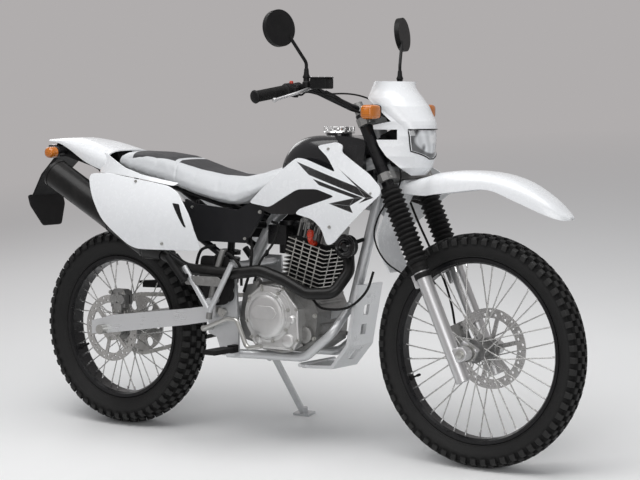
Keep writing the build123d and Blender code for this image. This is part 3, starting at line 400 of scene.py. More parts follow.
def lens_finish(name, tint):
    """Coloured clear lens with prism ribs behind a glossy face."""
    m = Finish(name)
    _, y, z = m.xyz()
    wave = (z * 1250.0).math("SINE") * (y * 1250.0).math("SINE")
    depth = (wave * 0.5 + 0.5) * 0.8 + m.noise(60.0) * 0.2
    base = m.mix(depth, shade(tint, 0.55), shade(tint, 1.15))
    return m.done(base, 0.10 + m.noise(90.0) * 0.06, 0.0, m.bump(wave, 0.0004, 0.35), Coat_Weight=0.6,
                  Coat_Roughness=0.04)


def lamp_glass(name):
    """A clear lamp front with painted reflection: the reflector's bright and dark facets, a painted highlight
    for the bulb, and its dark surround.
    """
    m = Finish(name)
    _, y, z = m.xyz()
    far = (y * y * 0.9 + (z - 0.962) * (z - 0.962) * 1.5) ** 0.5
    facets = m.cells(46.0, m.node("ShaderNodeCombineXYZ", inputs={0: y * 1.0, 1: z * 0.45}))
    folds = (y * 260.0 + z * 60.0).math("SINE") * 0.5 + 0.5
    # painted reflection: the reflector's facets and the folds of the glass are drawn bright and dark in the
    # colour
    painted_reflection = m.mix(facets.over(0.22, 0.3), (0.06, 0.062, 0.066), (0.84, 0.86, 0.88))
    painted_reflection = m.mix(folds * 0.3, painted_reflection, (0.20, 0.21, 0.22))
    # painted highlight: a bright spot where the bulb sits
    painted_reflection = m.mix(far.under(0.016, 0.008), painted_reflection, (0.92, 0.93, 0.94))
    base = m.mix(far.over(0.052, 0.006) * 0.85, painted_reflection, (0.02, 0.021, 0.023))
    return m.done(base, m.noise(40.0) * 0.05 + 0.10, 0.25, m.bump(folds, 0.0010, 0.4), Coat_Weight=1.0,
                  Coat_Roughness=0.02)


def finned_iron(name):
    """Black engine paint, with the fins' machined edges bare."""
    m = Finish(name)
    x, y, _ = m.split(m.turned((78, 0, 500), (0.0, radians(-15.0), 0.0)))
    edge = either(x.math("ABSOLUTE").over(0.0712, 0.0012), y.math("ABSOLUTE").over(0.0732, 0.0012))
    worn = edge * m.noise(60.0, 4.0).over(0.30, 0.4)
    base = m.mix(m.noise(25.0, 4.0), (0.010, 0.010, 0.0105), (0.030, 0.0295, 0.029))
    base = m.mix(worn, base, (0.55, 0.54, 0.51))
    return m.done(base, m.noise(200.0) * 0.14 + 0.48 - worn * 0.16, worn * 0.8,
                  m.bump(m.noise(600.0, 3.0), 0.0002, 0.6), Specular_IOR_Level=0.25)


def vinyl_finish(name, paint):
    """Seat vinyl: light sides, dark top in two parts, with leather grain."""
    m = Finish(name)
    x, y, _ = m.xyz()
    across = y.math("ABSOLUTE")
    width = x.over(-0.59, 0.012) * x.under(-0.09, 0.05) * 0.080
    narrow = (x + 0.40).math("MAXIMUM", 0.0) * 0.12
    top = (width - narrow - across).over(0.0, 0.0022)
    gap = (x + 0.395).math("ABSOLUTE").under(0.0075, 0.002)
    up = m.node("ShaderNodeSeparateXYZ", inputs={0: m.node("ShaderNodeNewGeometry", out=1)}, out=2)
    top = top * (1.0 - gap) * up.over(0.25, 0.2)
    pores = m.cells(780.0, feature="DISTANCE_TO_EDGE")
    creases = m.noise(520.0, 4.0, 0.6)
    light = m.mix(m.noise(9.0, 3.0), shade(paint.seat_side, 0.94), shade(paint.seat_side, 1.04))
    dark = m.mix(m.noise(90.0, 3.0), shade(paint.seat_top, 0.8), shade(paint.seat_top, 1.35))
    base = m.mix(top, light, dark)
    base = m.mix(pores.under(0.10, 0.12) * 0.16, base, (0.05, 0.05, 0.05))
    grain = m.bump(pores, 0.0004, 0.35, m.bump(creases, 0.0004, 0.4))
    return m.done(base, m.noise(70.0) * 0.14 + 0.44 + top * 0.14, 0.0, grain, Specular_IOR_Level=0.45)


# ------------------------------------------------------------------------------ shapes
def circle(middle, side, other, radius, sides):
    """Points round a middle, in the plane of two directions."""
    return [middle + (side * cos(2 * pi * k / sides) + other * sin(2 * pi * k / sides)) * radius
            for k in range(sides)]


class Shape:
    """Faces of one piece, drawn on the upright machine in millimetres."""

    def __init__(self):
        self.points, self.faces = [], []

    def add(self, points, faces):
        base = len(self.points)
        self.points += [Vector(p) for p in points]
        self.faces += [tuple(base + i for i in face) for face in faces]

    def rings(self, rows, closed=False):
        """Faces between rows of equally many points; each row is a closed ring."""
        n = len(rows[0])
        points = [p for row in rows for p in row]
        faces = []
        for r in range(len(rows) if closed else len(rows) - 1):
            s = (r + 1) % len(rows)
            faces += [(r * n + i, r * n + (i + 1) % n, s * n + (i + 1) % n, s * n + i) for i in range(n)]
        if not closed:
            faces += [tuple(range(n))[::-1], tuple((len(rows) - 1) * n + i for i in range(n))]
        self.add(points, faces)

    def turned(self, start, way, profile, sides):
        """A solid of revolution: profile is (distance along way, radius)."""
        start, way = Vector(start), Vector(way).normalized()
        side = way.orthogonal().normalized() if abs(way.y) < 0.9 else Vector((1, 0, 0))
        side = (side - way * side.dot(way)).normalized()
        self.rings([circle(start + way * at, side, way.cross(side), max(radius, 0.01), sides)
                    for at, radius in profile])

    def slab(self, outline, thickness, origin, right, up):
        """A flat outline, made thick behind its plane."""
        origin, right, up = Vector(origin), Vector(right).normalized(), Vector(up).normalized()
        back = right.cross(up) * -thickness
        front = [origin + right * a + up * b for a, b in outline]
        self.rings([front, [p + back for p in front]])

    def rod(self, points, radius, sides, taper=None):
        """A bent rod through points, smoothly rounded, taper being its radius at the end."""
        path = smooth(points)
        rows, side = [], None
        for i, p in enumerate(path):
            way = (path[min(i + 1, len(path) - 1)] - path[max(i - 1, 0)]).normalized()
            side = (way.orthogonal() if side is None else side - way * side.dot(way)).normalized()
            r = radius if taper is None else radius + (taper - radius) * (i / (len(path) - 1))
            rows.append(circle(p, side, way.cross(side), r, sides))
        self.rings(rows)

    def loop(self, line, radius, sides):
        """A closed bead along a line of points."""
        rows, n = [], len(line)
        for i, p in enumerate(line):
            way = (line[(i + 1) % n] - line[i - 1]).normalized()
            side = (Vector((1, 0, 0)) - way * way.x).normalized()
            rows.append(circle(p, side, way.cross(side), radius, sides))
        self.rings(rows, closed=True)

    def skin(self, outline, bow, wall, cell):
        """A thin panel: an outline in X and Z, bowed out to bow(x, z), its wall turned inwards."""
        work = bmesh.new()
        work.faces.new([work.verts.new((x, 0, z)) for x, z in outline])
        for k, way in ((0, (1, 0, 0)), (2, (0, 0, 1))):
            low, high = min(p[k // 2] for p in outline), max(p[k // 2] for p in outline)
            for i in range(1, int((high - low) / cell) + 1):
                at = [0, 0, 0]
                at[k] = low + i * cell
                every = work.verts[:] + work.edges[:] + work.faces[:]
                bmesh.ops.bisect_plane(work, geom=every, dist=0.001, plane_co=at, plane_no=way)
        for v in work.verts:
            v.co.y = bow(v.co.x, v.co.z)
        inward = 1 if bow(*outline[0]) < 0 else -1
        n = len(work.verts)
        work.verts.index_update()
        outer = [v.co.copy() for v in work.verts]
        faces = [tuple(v.index for v in f.verts) for f in work.faces]
        rim = [(e.verts[0].index, e.verts[1].index) for e in work.edges if len(e.link_faces) == 1]
        work.free()
        inner = [p + Vector((0, inward * wall, 0)) for p in outer]
        sides = [(a, b, b + n, a + n) for a, b in rim]
        self.add(outer + inner, faces + [tuple(i + n for i in reversed(f)) for f in faces] + sides)

    def skins(self, outline, stations, wall, cell=22.0, out=0.0):
        """A thin panel on either side, bowed through stations and moved out."""
        for side in SIDES:
            bow = bowed(stations, side)
            self.skin(outline, lambda x, z: bow(x, z) + side * out, wall, cell)

    def block(self, middle, size, turn, round_by=0.0):
        """A box, turned about its middle or not (None), with its long edges rounded."""
        x, y, z = (d / 2 for d in size)
        r = round_by
        end = 0.9 if r else 1.0
        rim = [(x, y - r), (x - r * 0.3, y - r * 0.3), (x - r, y)] if r else [(x, y)]
        rim += [(-a, b) for a, b in reversed(rim)]
        rim += [(-a, -b) for a, b in rim]
        turn = turn or Matrix.Identity(3)
        self.rings([[Vector(middle) + turn @ Vector((a * k, b * k, c)) for a, b in rim]
                    for c, k in ((-z, end), (-z + r * 0.5, 1.0), (z - r * 0.5, 1.0), (z, end))])

    def hexagon(self, at, way, across, height):
        """A bolt head with a washer face under it."""
        self.turned(at, way, [(0, across * 0.72), (height * 0.22, across * 0.72)], 20)
        start = Vector(at) + Vector(way).normalized() * height * 0.2
        self.turned(start, way, [(0, across * 0.577), (height * 0.72, across * 0.577),
                                 (height * 0.8, across * 0.50)], 6)

    def mesh(self, name):
        """The faces as a mesh on the upright machine, merged and facing outwards."""
        data = bpy.data.meshes.new(name)
        data.from_pydata([p[:] for p in self.points], [], self.faces)
        work = bmesh.new()
        work.from_mesh(data)
        bmesh.ops.remove_doubles(work, verts=work.verts, dist=0.002)
        bmesh.ops.recalc_face_normals(work, faces=work.faces)
        work.to_mesh(data)
        work.free()
        return data

    def piece(self, name, body, finish, stands_for=(), bevel=0.0, crease=38.0, slot=None):
        """The finished piece, in place and riding on its body."""
        data = self.mesh(name)
        data.transform(TO_PARK)
        placed(data, name, body, finish, stands_for, bevel, crease)


def placed(data, name, body, finish, stands_for=(), bevel=0.0, crease=38.0):
    """A finished mesh as a piece that rides on a body."""
    item = bpy.data.objects.new(name, data)
    bpy.context.scene.collection.objects.link(item)
    data.materials.append(FINISHES[finish])
    data.shade_smooth()
    data.set_sharp_from_angle(angle=radians(crease))
    if bevel:
        cut = item.modifiers.new("edges", "BEVEL")
        cut.width, cut.segments, cut.limit_method, cut.angle_limit = bevel * MM, 2, "ANGLE", radians(35)
    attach(item, body)
    if stands_for:
        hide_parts(*stands_for)


def rounded(outline, radius):
    """An outline with its corners rounded off."""
    out = []
    for a, b, c in zip(outline[-1:] + outline[:-1], outline, outline[1:] + outline[:1]):
        a, b, c = (Vector(p) for p in (a, b, c))
        cut = min(radius, 0.42 * (a - b).length, 0.42 * (c - b).length)
        one, two = b + (a - b).normalized() * cut, b + (c - b).normalized() * cut
        out += [tuple((one * (1 - t) + b * t) * (1 - t) + (b * (1 - t) + two * t) * t)
                for t in (0, 0.33, 0.67, 1)]
    return out


def squared(count, power):
    """Points round a circle of radius 1, squared off by a power under 1."""
    angles = [2 * pi * (k + 0.5) / count for k in range(count)]
    return [(abs(cos(a)) ** power * (1 if cos(a) > 0 else -1),
             abs(sin(a)) ** power * (1 if sin(a) > 0 else -1))
            for a in angles]


def through(stops, at):
    """A value on the curve through three (place, value) pairs."""
    return sum(v * (at - b) * (at - c) / ((a - b) * (a - c)) for (a, v), (b, _), (c, _) in (
        stops, stops[1:] + stops[:1], stops[2:] + stops[:2]))


def bowed(stations, side):
    """How far out a panel stands: three (y, z) points at each of three places in X."""
    def bow(x, z):
        return side * through([(at, through([(h, y) for y, h in row], z)) for at, row in stations], x)
    return bow


def met(node, start, way):
    """Where a line from an upright point first meets a solid, or None."""
    item = NODES[node]
    turn = PARK.to_3x3()
    found, at, _, _ = item.ray_cast(PARK @ (Vector(start) * MM), (turn @ Vector(way)).normalized())
    return PARK.inverted() @ at / MM if found else None


def smooth(points, steps=6):
    """Points on a smooth line through the given ones."""
    p = [Vector(q) for q in points]
    ends = [p[0] * 2 - p[1]] + p + [p[-1] * 2 - p[-2]]
    line = []
    for a, b, c, d in zip(ends, ends[1:], ends[2:], ends[3:]):
        for i in range(steps):
            t = i / steps
            line.append(0.5 * (2 * b + (c - a) * t + (2 * a - 5 * b + 4 * c - d) * t * t
                               + (3 * b - a - 3 * c + d) * t ** 3))
    return line + [p[-1]]


# ------------------------------------------------------------------------------ repeats
def repeat_tree(name, build, sockets):
    """A geometry node tree; build gets the graph and its inputs, and returns geometry."""
    tree = bpy.data.node_groups.new(name, "GeometryNodeTree")
    tree.interface.new_socket("Geometry", in_out="INPUT", socket_type="NodeSocketGeometry")
    for label, kind, value in sockets:
        made = tree.interface.new_socket(label, in_out="INPUT", socket_type=kind)
        if value is not None:
            made.default_value = value
    tree.interface.new_socket("Finish", in_out="INPUT", socket_type="NodeSocketMaterial")
    tree.interface.new_socket("Geometry", in_out="OUTPUT", socket_type="NodeSocketGeometry")
    graph = Graph(tree)
    start = graph.node("NodeGroupInput").socket.node
    given = {s.name: Value(graph, s) for s in start.outputs if s.name}
    made = build(graph, given)
    real = graph.node("GeometryNodeRealizeInstances", inputs={0: made})
    dressed = graph.node("GeometryNodeSetMaterial", inputs={"Geometry": real, "Material": given["Finish"]})
    graph.end("NodeGroupOutput", dressed)
    return tree


def evaluated(item):
    """A new mesh of what an object's modifiers make of it."""
    return bpy.data.meshes.new_from_object(item.evaluated_get(bpy.context.evaluated_depsgraph_get()))


def grown(data, tree, inputs, name):
    """The plain mesh that a tree makes from a mesh."""
    item = bpy.data.objects.new(name + "_source", data)
    bpy.context.scene.collection.objects.link(item)
    modifier = item.modifiers.new("repeat", "NODES")
    modifier.node_group = tree
    for socket in tree.interface.items_tree:
        if socket.in_out == "INPUT" and socket.name in inputs:
            modifier[socket.identifier] = inputs[socket.name]
    bpy.context.view_layer.update()
    made = evaluated(item)
    made.name = name
    item.modifiers.remove(modifier)
    bpy.data.objects.remove(item)
    made.materials.clear()
    return made


def turned_copies(graph, given):
    """Copies turned about the Y axis."""
    points = graph.node("GeometryNodePoints", inputs={"Count": given["Count"]})
    turn = graph.node("GeometryNodeInputIndex") * given["Step"]
    angle = graph.node("ShaderNodeCombineXYZ", inputs={1: turn})
    return graph.node("GeometryNodeInstanceOnPoints", inputs={
        "Points": points, "Instance": given["Geometry"], "Rotation": angle})


def round_axle(shape, count, name, finish, axle):
    """A shape, drawn about the Y axis, repeated round an axle."""
    tree = bpy.data.node_groups.get("Turned copies") or repeat_tree("Turned copies", turned_copies, [
        ("Count", "NodeSocketInt", 8), ("Step", "NodeSocketFloat", 0.1)])
    made = grown(shape.mesh(name), tree, {
        "Count": count, "Step": 2 * pi / count, "Finish": FINISHES[finish]}, name)
    made.transform(TO_PARK @ Matrix.Translation((axle[0], 0, axle[1])))
    return made


def chain_copies(graph, given):
    """Alternate wide and narrow links along a closed line."""
    line = graph.node("GeometryNodeMeshToCurve", inputs={"Mesh": given["Geometry"]})
    spaced = graph.node("GeometryNodeResampleCurve", inputs={"Curve": line, "Count": given["Links"]})
    tangent = graph.node("GeometryNodeInputTangent")
    turn = graph.node("FunctionNodeAlignRotationToVector", {"axis": "X"}, {"Vector": tangent})
    pitch, height, thick = given["Pitch"], given["Height"], given["Plate"]

    def plates(apart):
        """Two side plates of one link."""
        sides = []
        for sign in (-1.0, 1.0):
            size = graph.node("ShaderNodeCombineXYZ", inputs={0: pitch * 1.62, 1: thick, 2: height})
            at = graph.node("ShaderNodeCombineXYZ", inputs={1: apart * sign})
            slab = graph.node("GeometryNodeMeshCube", inputs={
                "Size": size, "Vertices X": 5, "Vertices Y": 2, "Vertices Z": 3})
            where = graph.node("GeometryNodeInputPosition")
            share = (graph.node("ShaderNodeSeparateXYZ", inputs={0: where}) / (pitch * 0.81)).math("ABSOLUTE")
            end = 1.0 - share.over(0.86, 0.3) * 0.55
            dip = 1.0 - share.under(0.22, 0.4) * 0.16
            squeeze = graph.node("ShaderNodeCombineXYZ", inputs={0: 1.0, 1: 1.0, 2: end * dip})
            shaped = graph.node("ShaderNodeVectorMath", {"operation": "MULTIPLY"}, {0: where, 1: squeeze})
            slab = graph.node("GeometryNodeSetPosition", inputs={"Geometry": slab, "Position": shaped})
            sides.append(graph.node("GeometryNodeTransform", inputs={"Geometry": slab, "Translation": at}))
        return sides

    roller = graph.node("GeometryNodeMeshCylinder", inputs={
        "Vertices": 10, "Radius": given["Roller"], "Depth": given["Width"] * 2.0})
    pin = graph.node("GeometryNodeTransform", inputs={
        "Geometry": roller, "Rotation": Vector((pi / 2, 0, 0)),
        "Translation": graph.node("ShaderNodeCombineXYZ", inputs={0: pitch * 0.5})})

    def links(chosen, apart):
        """A link on every chosen point, its plates this far from the middle."""
        return graph.node("GeometryNodeInstanceOnPoints", inputs={
            "Points": spaced, "Selection": chosen, "Instance": graph.joined(plates(apart) + [pin]),
            "Rotation": turn})

    odd = graph.node("GeometryNodeInputIndex").math("MODULO", 2.0).math("GREATER_THAN", 0.5)
    return graph.joined([links(odd, given["Width"] + thick * 1.1), links(1.0 - odd, given["Width"])])


def bolt_copies(graph, given):
    """A bolt head with its washer at every point, facing the way stored there."""
    way = graph.node("GeometryNodeInputNamedAttribute", {"data_type": "FLOAT_VECTOR"}, {"Name": "way"})
    size = graph.node("GeometryNodeInputNamedAttribute", {"data_type": "FLOAT"}, {"Name": "size"})
    turn = graph.node("FunctionNodeAlignRotationToVector", {"axis": "Z"}, {"Vector": way})
    parts = []
    for sides, radius, depth, lift in ((20, 0.74, 0.18, 0.09), (6, 0.577, 0.62, 0.48),
                                       (16, 0.40, 0.70, 0.52)):
        drum = graph.node("GeometryNodeMeshCylinder", inputs={
            "Vertices": sides, "Radius": radius, "Depth": depth})
        parts.append(graph.node("GeometryNodeTransform", inputs={
            "Geometry": drum, "Translation": Vector((0, 0, lift))}))
    return graph.node("GeometryNodeInstanceOnPoints", inputs={
        "Points": given["Geometry"], "Instance": graph.joined(parts), "Rotation": turn,
        "Scale": size * given["Scale"]})


def bolts(name, body, places, scale=1.0):
    """Steel bolt heads at (point, way, width across flats), in millimetres."""
    tree = bpy.data.node_groups.get("Bolt heads") or repeat_tree("Bolt heads", bolt_copies, [
        ("Scale", "NodeSocketFloat", 1.0)])
    data = bpy.data.meshes.new(name)
    data.from_pydata([Vector(p)[:] for p, _, _ in places], [], [])
    data.attributes.new("way", "FLOAT_VECTOR", "POINT")
    data.attributes.new("size", "FLOAT", "POINT")
    ways = [c for _, way, _ in places for c in Vector(way).normalized()]
    data.attributes["way"].data.foreach_set("vector", ways)
    data.attributes["size"].data.foreach_set("value", [width for _, _, width in places])
    made = grown(data, tree, {"Scale": scale, "Finish": FINISHES["steel"]}, name)
    made.transform(TO_PARK)
    placed(made, name, body, "steel", crease=30)


def bolt_circle(axle, radius, y, width):
    """Six places for bolts round an axle, facing away from the middle."""
    angles = [radians(60 * i + 15) for i in range(6)]
    return [((axle[0] + radius * cos(a), y, axle[1] + radius * sin(a)), (0, 1 if y > 0 else -1, 0), width)
            for a in angles]


# ------------------------------------------------------------------------------ pieces
FINISHES = {}


def add_camera(scene):
    """The camera, leaned with the machine."""
    yaw, pitch = CAMERA_YAW, CAMERA_PITCH
    ahead = Vector((-sin(yaw) * cos(pitch), cos(yaw) * cos(pitch), -sin(pitch)))
    right = Vector((cos(yaw), sin(yaw), 0.0))
    up = right.cross(ahead)
    lens = bpy.data.cameras.new("view")
    lens.sensor_width, lens.sensor_fit, lens.lens = SENSOR, "HORIZONTAL", FOCAL_SHARE * SENSOR
    lens.clip_end = 60.0
    camera = bpy.data.objects.new("view", lens)
    pose = Matrix((right, up, -ahead)).transposed().to_4x4()
    camera.matrix_world = PARK @ Matrix.Translation(CAMERA_AT) @ pose
    scene.collection.objects.link(camera)
    scene.camera = camera


def add_floor(scene, stage):
    """A pale floor that fades into the backdrop."""
    m = Finish("studio_floor")
    spot = m.node("ShaderNodeTexCoord", out=3)
    far = m.node("ShaderNodeVectorMath", {"operation": "LENGTH"}, {0: spot}, out=1)
    grain = m.noise(3.0, 2.0)
    plain = m.node("ShaderNodeBsdfDiffuse", inputs={
        "Color": m.mix(grain, shade(stage.floor, 0.99), shade(stage.floor, 1.01))})
    glow = m.node("ShaderNodeEmission", inputs={"Color": BACKDROP, "Strength": 1.0})
    faded = far.over(3.6, 4.6) * m.backdrop_rays()
    m.end("ShaderNodeOutputMaterial", m.node("ShaderNodeMixShader", inputs={0: faded, 1: plain, 2: glow}))
    floor = bpy.data.meshes.new("floor")
    floor.from_pydata([(-30, -30, 0), (30, -30, 0), (30, 30, 0), (-30, 30, 0)], [], [(0, 1, 2, 3)])
    floor.materials.append(m.material)
    ground = bpy.data.objects.new("floor", floor)
    scene.collection.objects.link(ground)


def add_world(scene):
    """A dim sky that looks like the backdrop where it is seen."""
    world = bpy.data.worlds.new("studio")
    world.use_nodes = True
    sky = Graph(world.node_tree)
    sky.tree.nodes.clear()
    seen = sky.backdrop_rays()
    dim = sky.node("ShaderNodeBackground", inputs={"Color": (0.62, 0.64, 0.67, 1.0), "Strength": 0.40})
    pale = sky.node("ShaderNodeBackground", inputs={"Color": BACKDROP, "Strength": 1.0})
    sky.end("ShaderNodeOutputWorld", sky.node("ShaderNodeMixShader", inputs={0: seen, 1: dim, 2: pale}))
    scene.world = world


def add_lights(scene, stage):
    """Large area lights, aimed at the middle of the machine."""
    for name, at, size, energy in (("overhead", (0.2, -0.6, 3.4), (4.2, 2.6), stage.key),
                                   ("right_side", (2.6, -3.6, 1.9), (2.2, 1.6), stage.side),
                                   ("rear", (-3.2, 1.6, 2.2), (1.8, 1.6), stage.side * 0.6)):
        lamp = bpy.data.lights.new(name, "AREA")
        lamp.shape, lamp.size, lamp.size_y, lamp.energy = "RECTANGLE", size[0], size[1], energy
        holder = bpy.data.objects.new(name, lamp)
        aim = (Vector((0.0, -0.1, 0.5)) - Vector(at)).to_track_quat("-Z", "Y")
        holder.matrix_world = Matrix.Translation(at) @ aim.to_matrix().to_4x4()
        scene.collection.objects.link(holder)


class MakeStage(bpy.types.Operator):
    """Floor, backdrop, lights and the camera"""
    bl_idname = "moto.make_stage"
    bl_label = "Stage"

    def execute(self, context):
        scene, stage = context.scene, context.scene.moto_stage
        add_camera(scene)
        add_floor(scene, stage)
        add_world(scene)
        add_lights(scene, stage)
        scene.view_settings.view_transform = "Standard"
        return {"FINISHED"}


class PaintFrame(bpy.types.Operator):
    """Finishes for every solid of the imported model"""
    bl_idname = "moto.paint_frame"
    bl_label = "Finishes"

    def execute(self, context):
        paint = context.scene.moto_paint
        F = FINISHES
        F["white"] = gloss_plastic("gloss_white_plastic", paint.white)
        F["shroud"] = gloss_plastic("white_plastic_with_bands", paint.white, shroud_graphics)
        F["tank"] = satin_paint("tank_black_paint", paint.tank, 0.14, coat=0.5, grit=300.0, dirt=0.01,
                                 shine=0.25)
        F["silver"] = satin_paint("silver_frame_paint", paint.frame, 0.36, 0.55)
        F["black"] = satin_paint("satin_black_paint", (0.006, 0.006, 0.007), 0.28, coat=0.1, dirt=0.02,
                                 shine=0.25)
        F["gloss_black"] = satin_paint("gloss_black_plastic", (0.003, 0.003, 0.0035), 0.12, coat=0.4,
                                       grit=200.0,
                                       dirt=0.01, shine=0.2)
        F["heat_black"] = satin_paint("heat_proof_black", (0.005, 0.005, 0.005), 0.34, coat=0.1, dirt=0.03,
                                      shine=0.25)
        F["black_plastic"] = rubber_finish("grained_black_plastic", (0.006, 0.006, 0.0065), 0.44, 0.03,
                                           1700.0)
        F["cover_plastic"] = rubber_finish("dark_side_cover", (0.012, 0.012, 0.0135), 0.42, 0.02, 1500.0)
        F["rubber"] = rubber_finish("moulded_rubber")
        F["cast"] = cast_metal("cast_alloy", (0.34, 0.34, 0.335), 0.45)
        F["cover_alloy"] = cast_metal("painted_engine_cover", (0.66, 0.66, 0.655), 0.10, 0.34, 2200.0)
        F["arm"] = brushed_metal("extruded_alloy", (0.72, 0.73, 0.74), metal=0.6)
        F["fork"] = brushed_metal("polished_fork_alloy", (0.58, 0.58, 0.585), (5.0, 700.0, 5.0), (0, RAKE, 0),
                                  0.36,
                                  0.8)
        F["steel"] = brushed_metal("zinc_plated_steel", (0.50, 0.50, 0.48), (300.0, 40.0, 300.0))
        F["chrome"] = brushed_metal("bright_chrome", (0.80, 0.80, 0.80), (30.0, 30.0, 30.0), rough=0.12)
        F["front_disc"] = machined_steel("front_disc_steel", (0.58, 0.575, 0.57), FRONT_AXLE)
        F["rear_disc"] = machined_steel("rear_disc_steel", (0.54, 0.535, 0.52), REAR_AXLE)
        F["front_wire"] = hub_and_spokes("front_hub_and_wire", FRONT_AXLE, 36.0)
        F["rear_wire"] = hub_and_spokes("rear_hub_and_wire", REAR_AXLE, 46.0)
        F["iron"] = finned_iron("finned_black_iron")
        F["amber"] = lens_finish("amber_lens", paint.amber)
        F["red"] = lens_finish("red_lens", paint.red)
        F["glass"] = lamp_glass("lamp_glass")
        F["cap"] = gloss_plastic("red_cap_plastic", paint.cap)
        F["front_tyre"] = tyre_finish("front_tyre_rubber", FRONT_AXLE, 345.0, 39.0)
        F["rear_tyre"] = tyre_finish("rear_tyre_rubber", REAR_AXLE, 324.0, 57.0)
        F["vinyl"] = vinyl_finish("seat_vinyl", paint)
        by_slot = {"frame_paint": "silver", "black_paint": "black", "aluminium": "cast", "steel": "steel",
                   "black_iron": "iron", "chrome": "chrome", "black_plastic": "black_plastic",
                   "white_plastic": "white", "seat_cover": "vinyl", "red_lens": "red", "amber_lens": "amber",
                   "clear_lens": "glass", "rubber": "rubber", "tyre": "front_tyre"}
        special = {"shrouds": "shroud", "fuel_tank": "tank", "swing_arm": "arm", "skid_plate": "arm",
                   "fork_sliders": "fork", "fork_stanchions": "black",
                   "engine_covers": "cover_alloy", "exhaust_pipe": "heat_black", "muffler": "heat_black",
                   "front_brake_disc": "front_disc", "rear_brake_disc": "rear_disc",
                   "rear_sprocket": "rear_disc", "front_hub": "front_wire", "rear_hub": "rear_wire",
                   "rear_tyre": "rear_tyre", "airbox": "cover_plastic"}
        slots = {part["node"]: part["material_slot"] for part in frame["record"]["subparts"]}
        for node, item in NODES.items():
            finish = F[special.get(node) or by_slot[slots[node]]]
            for place in item.material_slots:
                place.material = finish
            if not item.material_slots:
                item.data.materials.append(finish)
        return {"FINISHED"}


class MakeTyres(bpy.types.Operator):
    """Tyres with rounded walls and separate tread blocks"""
    bl_idname = "moto.make_tyres"
    bl_label = "Tyres"

    def execute(self, context):
        t = context.scene.moto_tyres
        for name, axle, radius, width, count, bead, seat in (
                ("front_tyre", FRONT_AXLE, t.front_radius, t.front_width, t.front_pitches, 266.0, 25.0),
                ("rear_tyre", REAR_AXLE, t.rear_radius, t.rear_width, t.rear_pitches, 229.0, 33.0)):
            outer, half, high = radius / MM, width / MM / 2, t.block_height / MM
            crown = (0.86 * half) ** 2 / (0.6 * half)
            root = outer - high
            drop = (0.8 * half) ** 2 / (2 * crown)
            wall = [(bead + 0.4, seat - 5.7), (bead + 8, seat - 5.7), (bead + 10, seat - 1),
                    (bead + 12, seat + 0.5), (bead + 13.5, seat - 0.5), (bead + 16, seat + 1.5),
                    (bead + 0.45 * (root - bead), half - 7), (root - drop - 15, half - 5.0),
                    (root - drop - 8, half - 6.2), (root - drop - 1, 0.78 * half),
                    (root - 0.10 * half - 1, 0.50 * half), (root - 1, 0.18 * half)]
            wall += [(r, -y) for r, y in reversed(wall)]
            ring, steps, n = Shape(), 144, len(wall)
            ring.add([Vector((r * sin(turn), y, r * cos(turn))) for turn in (0.0, 2 * pi / steps) for r,
                      y in wall],
                     [(i, n + i, n + (i + 1) % n, (i + 1) % n) for i in range(n)])
            carcass = round_axle(ring, steps, name + "_body", name, axle)

            def top(y):
                return outer - y * y / (2 * crown)

            pitch = 2 * pi / count
            blocks = Shape()

            def block(y0, y1, at, long, deep, skew=0.0):
                """One tread block, its foot wider than its top."""
                rows = []
                for y, sink, grow in ((y0, deep, 2.0), (y0, 0.0, 0.0), (y1, 0.0, 0.0), (y1, deep, 2.0)):
                    edge = abs(y) > 0.9 * half
                    spread = (-1 if y == y0 else 1) * (0.0 if edge else grow)
                    r = top(y) - sink
                    row = []
                    for end in (-0.5, 0.0, 0.5):
                        turn = at * pitch + (end * (long + grow) + skew * (y - (y0 + y1) / 2)) / outer
                        row.append(Vector((r * sin(turn), y + spread, r * cos(turn))))
                    rows.append(row)
                points = [p for row in rows for p in row]
                faces = [(0, 1, 4, 3), (1, 2, 5, 4), (3, 4, 7, 6), (4, 5, 8, 7), (6, 7, 10, 9),
                         (7, 8, 11, 10),
                         (0, 3, 6, 9), (2, 11, 8, 5), (0, 9, 10, 1), (1, 10, 11, 2)]
                blocks.add(points, faces)
            long = pitch * outer
            block(-0.32 * half, -0.05 * half, 0.0, 0.62 * long, high + 1.5, 0.22)
            block(0.05 * half, 0.32 * half, 0.5, 0.62 * long, high + 1.5, 0.22)
            for s in SIDES:
                y0, y1 = sorted((s * 0.40 * half, s * 0.64 * half))
                block(y0, y1, 0.5 if s < 0 else 0.0, 0.54 * long, high + 4.0)
                y0, y1 = sorted((s * 0.73 * half, s * 0.985 * half))
                block(y0, y1, 0.0 if s < 0 else 0.5, 0.50 * long, high + 9.0)
            work = bmesh.new()
            data = blocks.mesh(name + "_blocks")
            work.from_mesh(data)
            sharp = [e for e in work.edges if len(e.link_faces) == 2 and e.calc_face_angle() > radians(40)]
            bmesh.ops.bevel(work, geom=sharp, offset=1.3, segments=1, affect="EDGES")
            work.to_mesh(data)
            work.free()
            tread = Shape()
            tread.add([v.co for v in data.vertices], [tuple(p.vertices) for p in data.polygons])
            lugs = round_axle(tread, count, name + "_lugs", name, axle)
            both = bmesh.new()
            both.from_mesh(carcass)
            bmesh.ops.remove_doubles(both, verts=both.verts, dist=0.00001)
            bmesh.ops.recalc_face_normals(both, faces=both.faces)
            both.from_mesh(lugs)
            both.to_mesh(carcass)
            both.free()
            placed(carcass, name + "_tread", name.replace("tyre", "wheel"), name, (name,), crease=32)
        return {"FINISHED"}


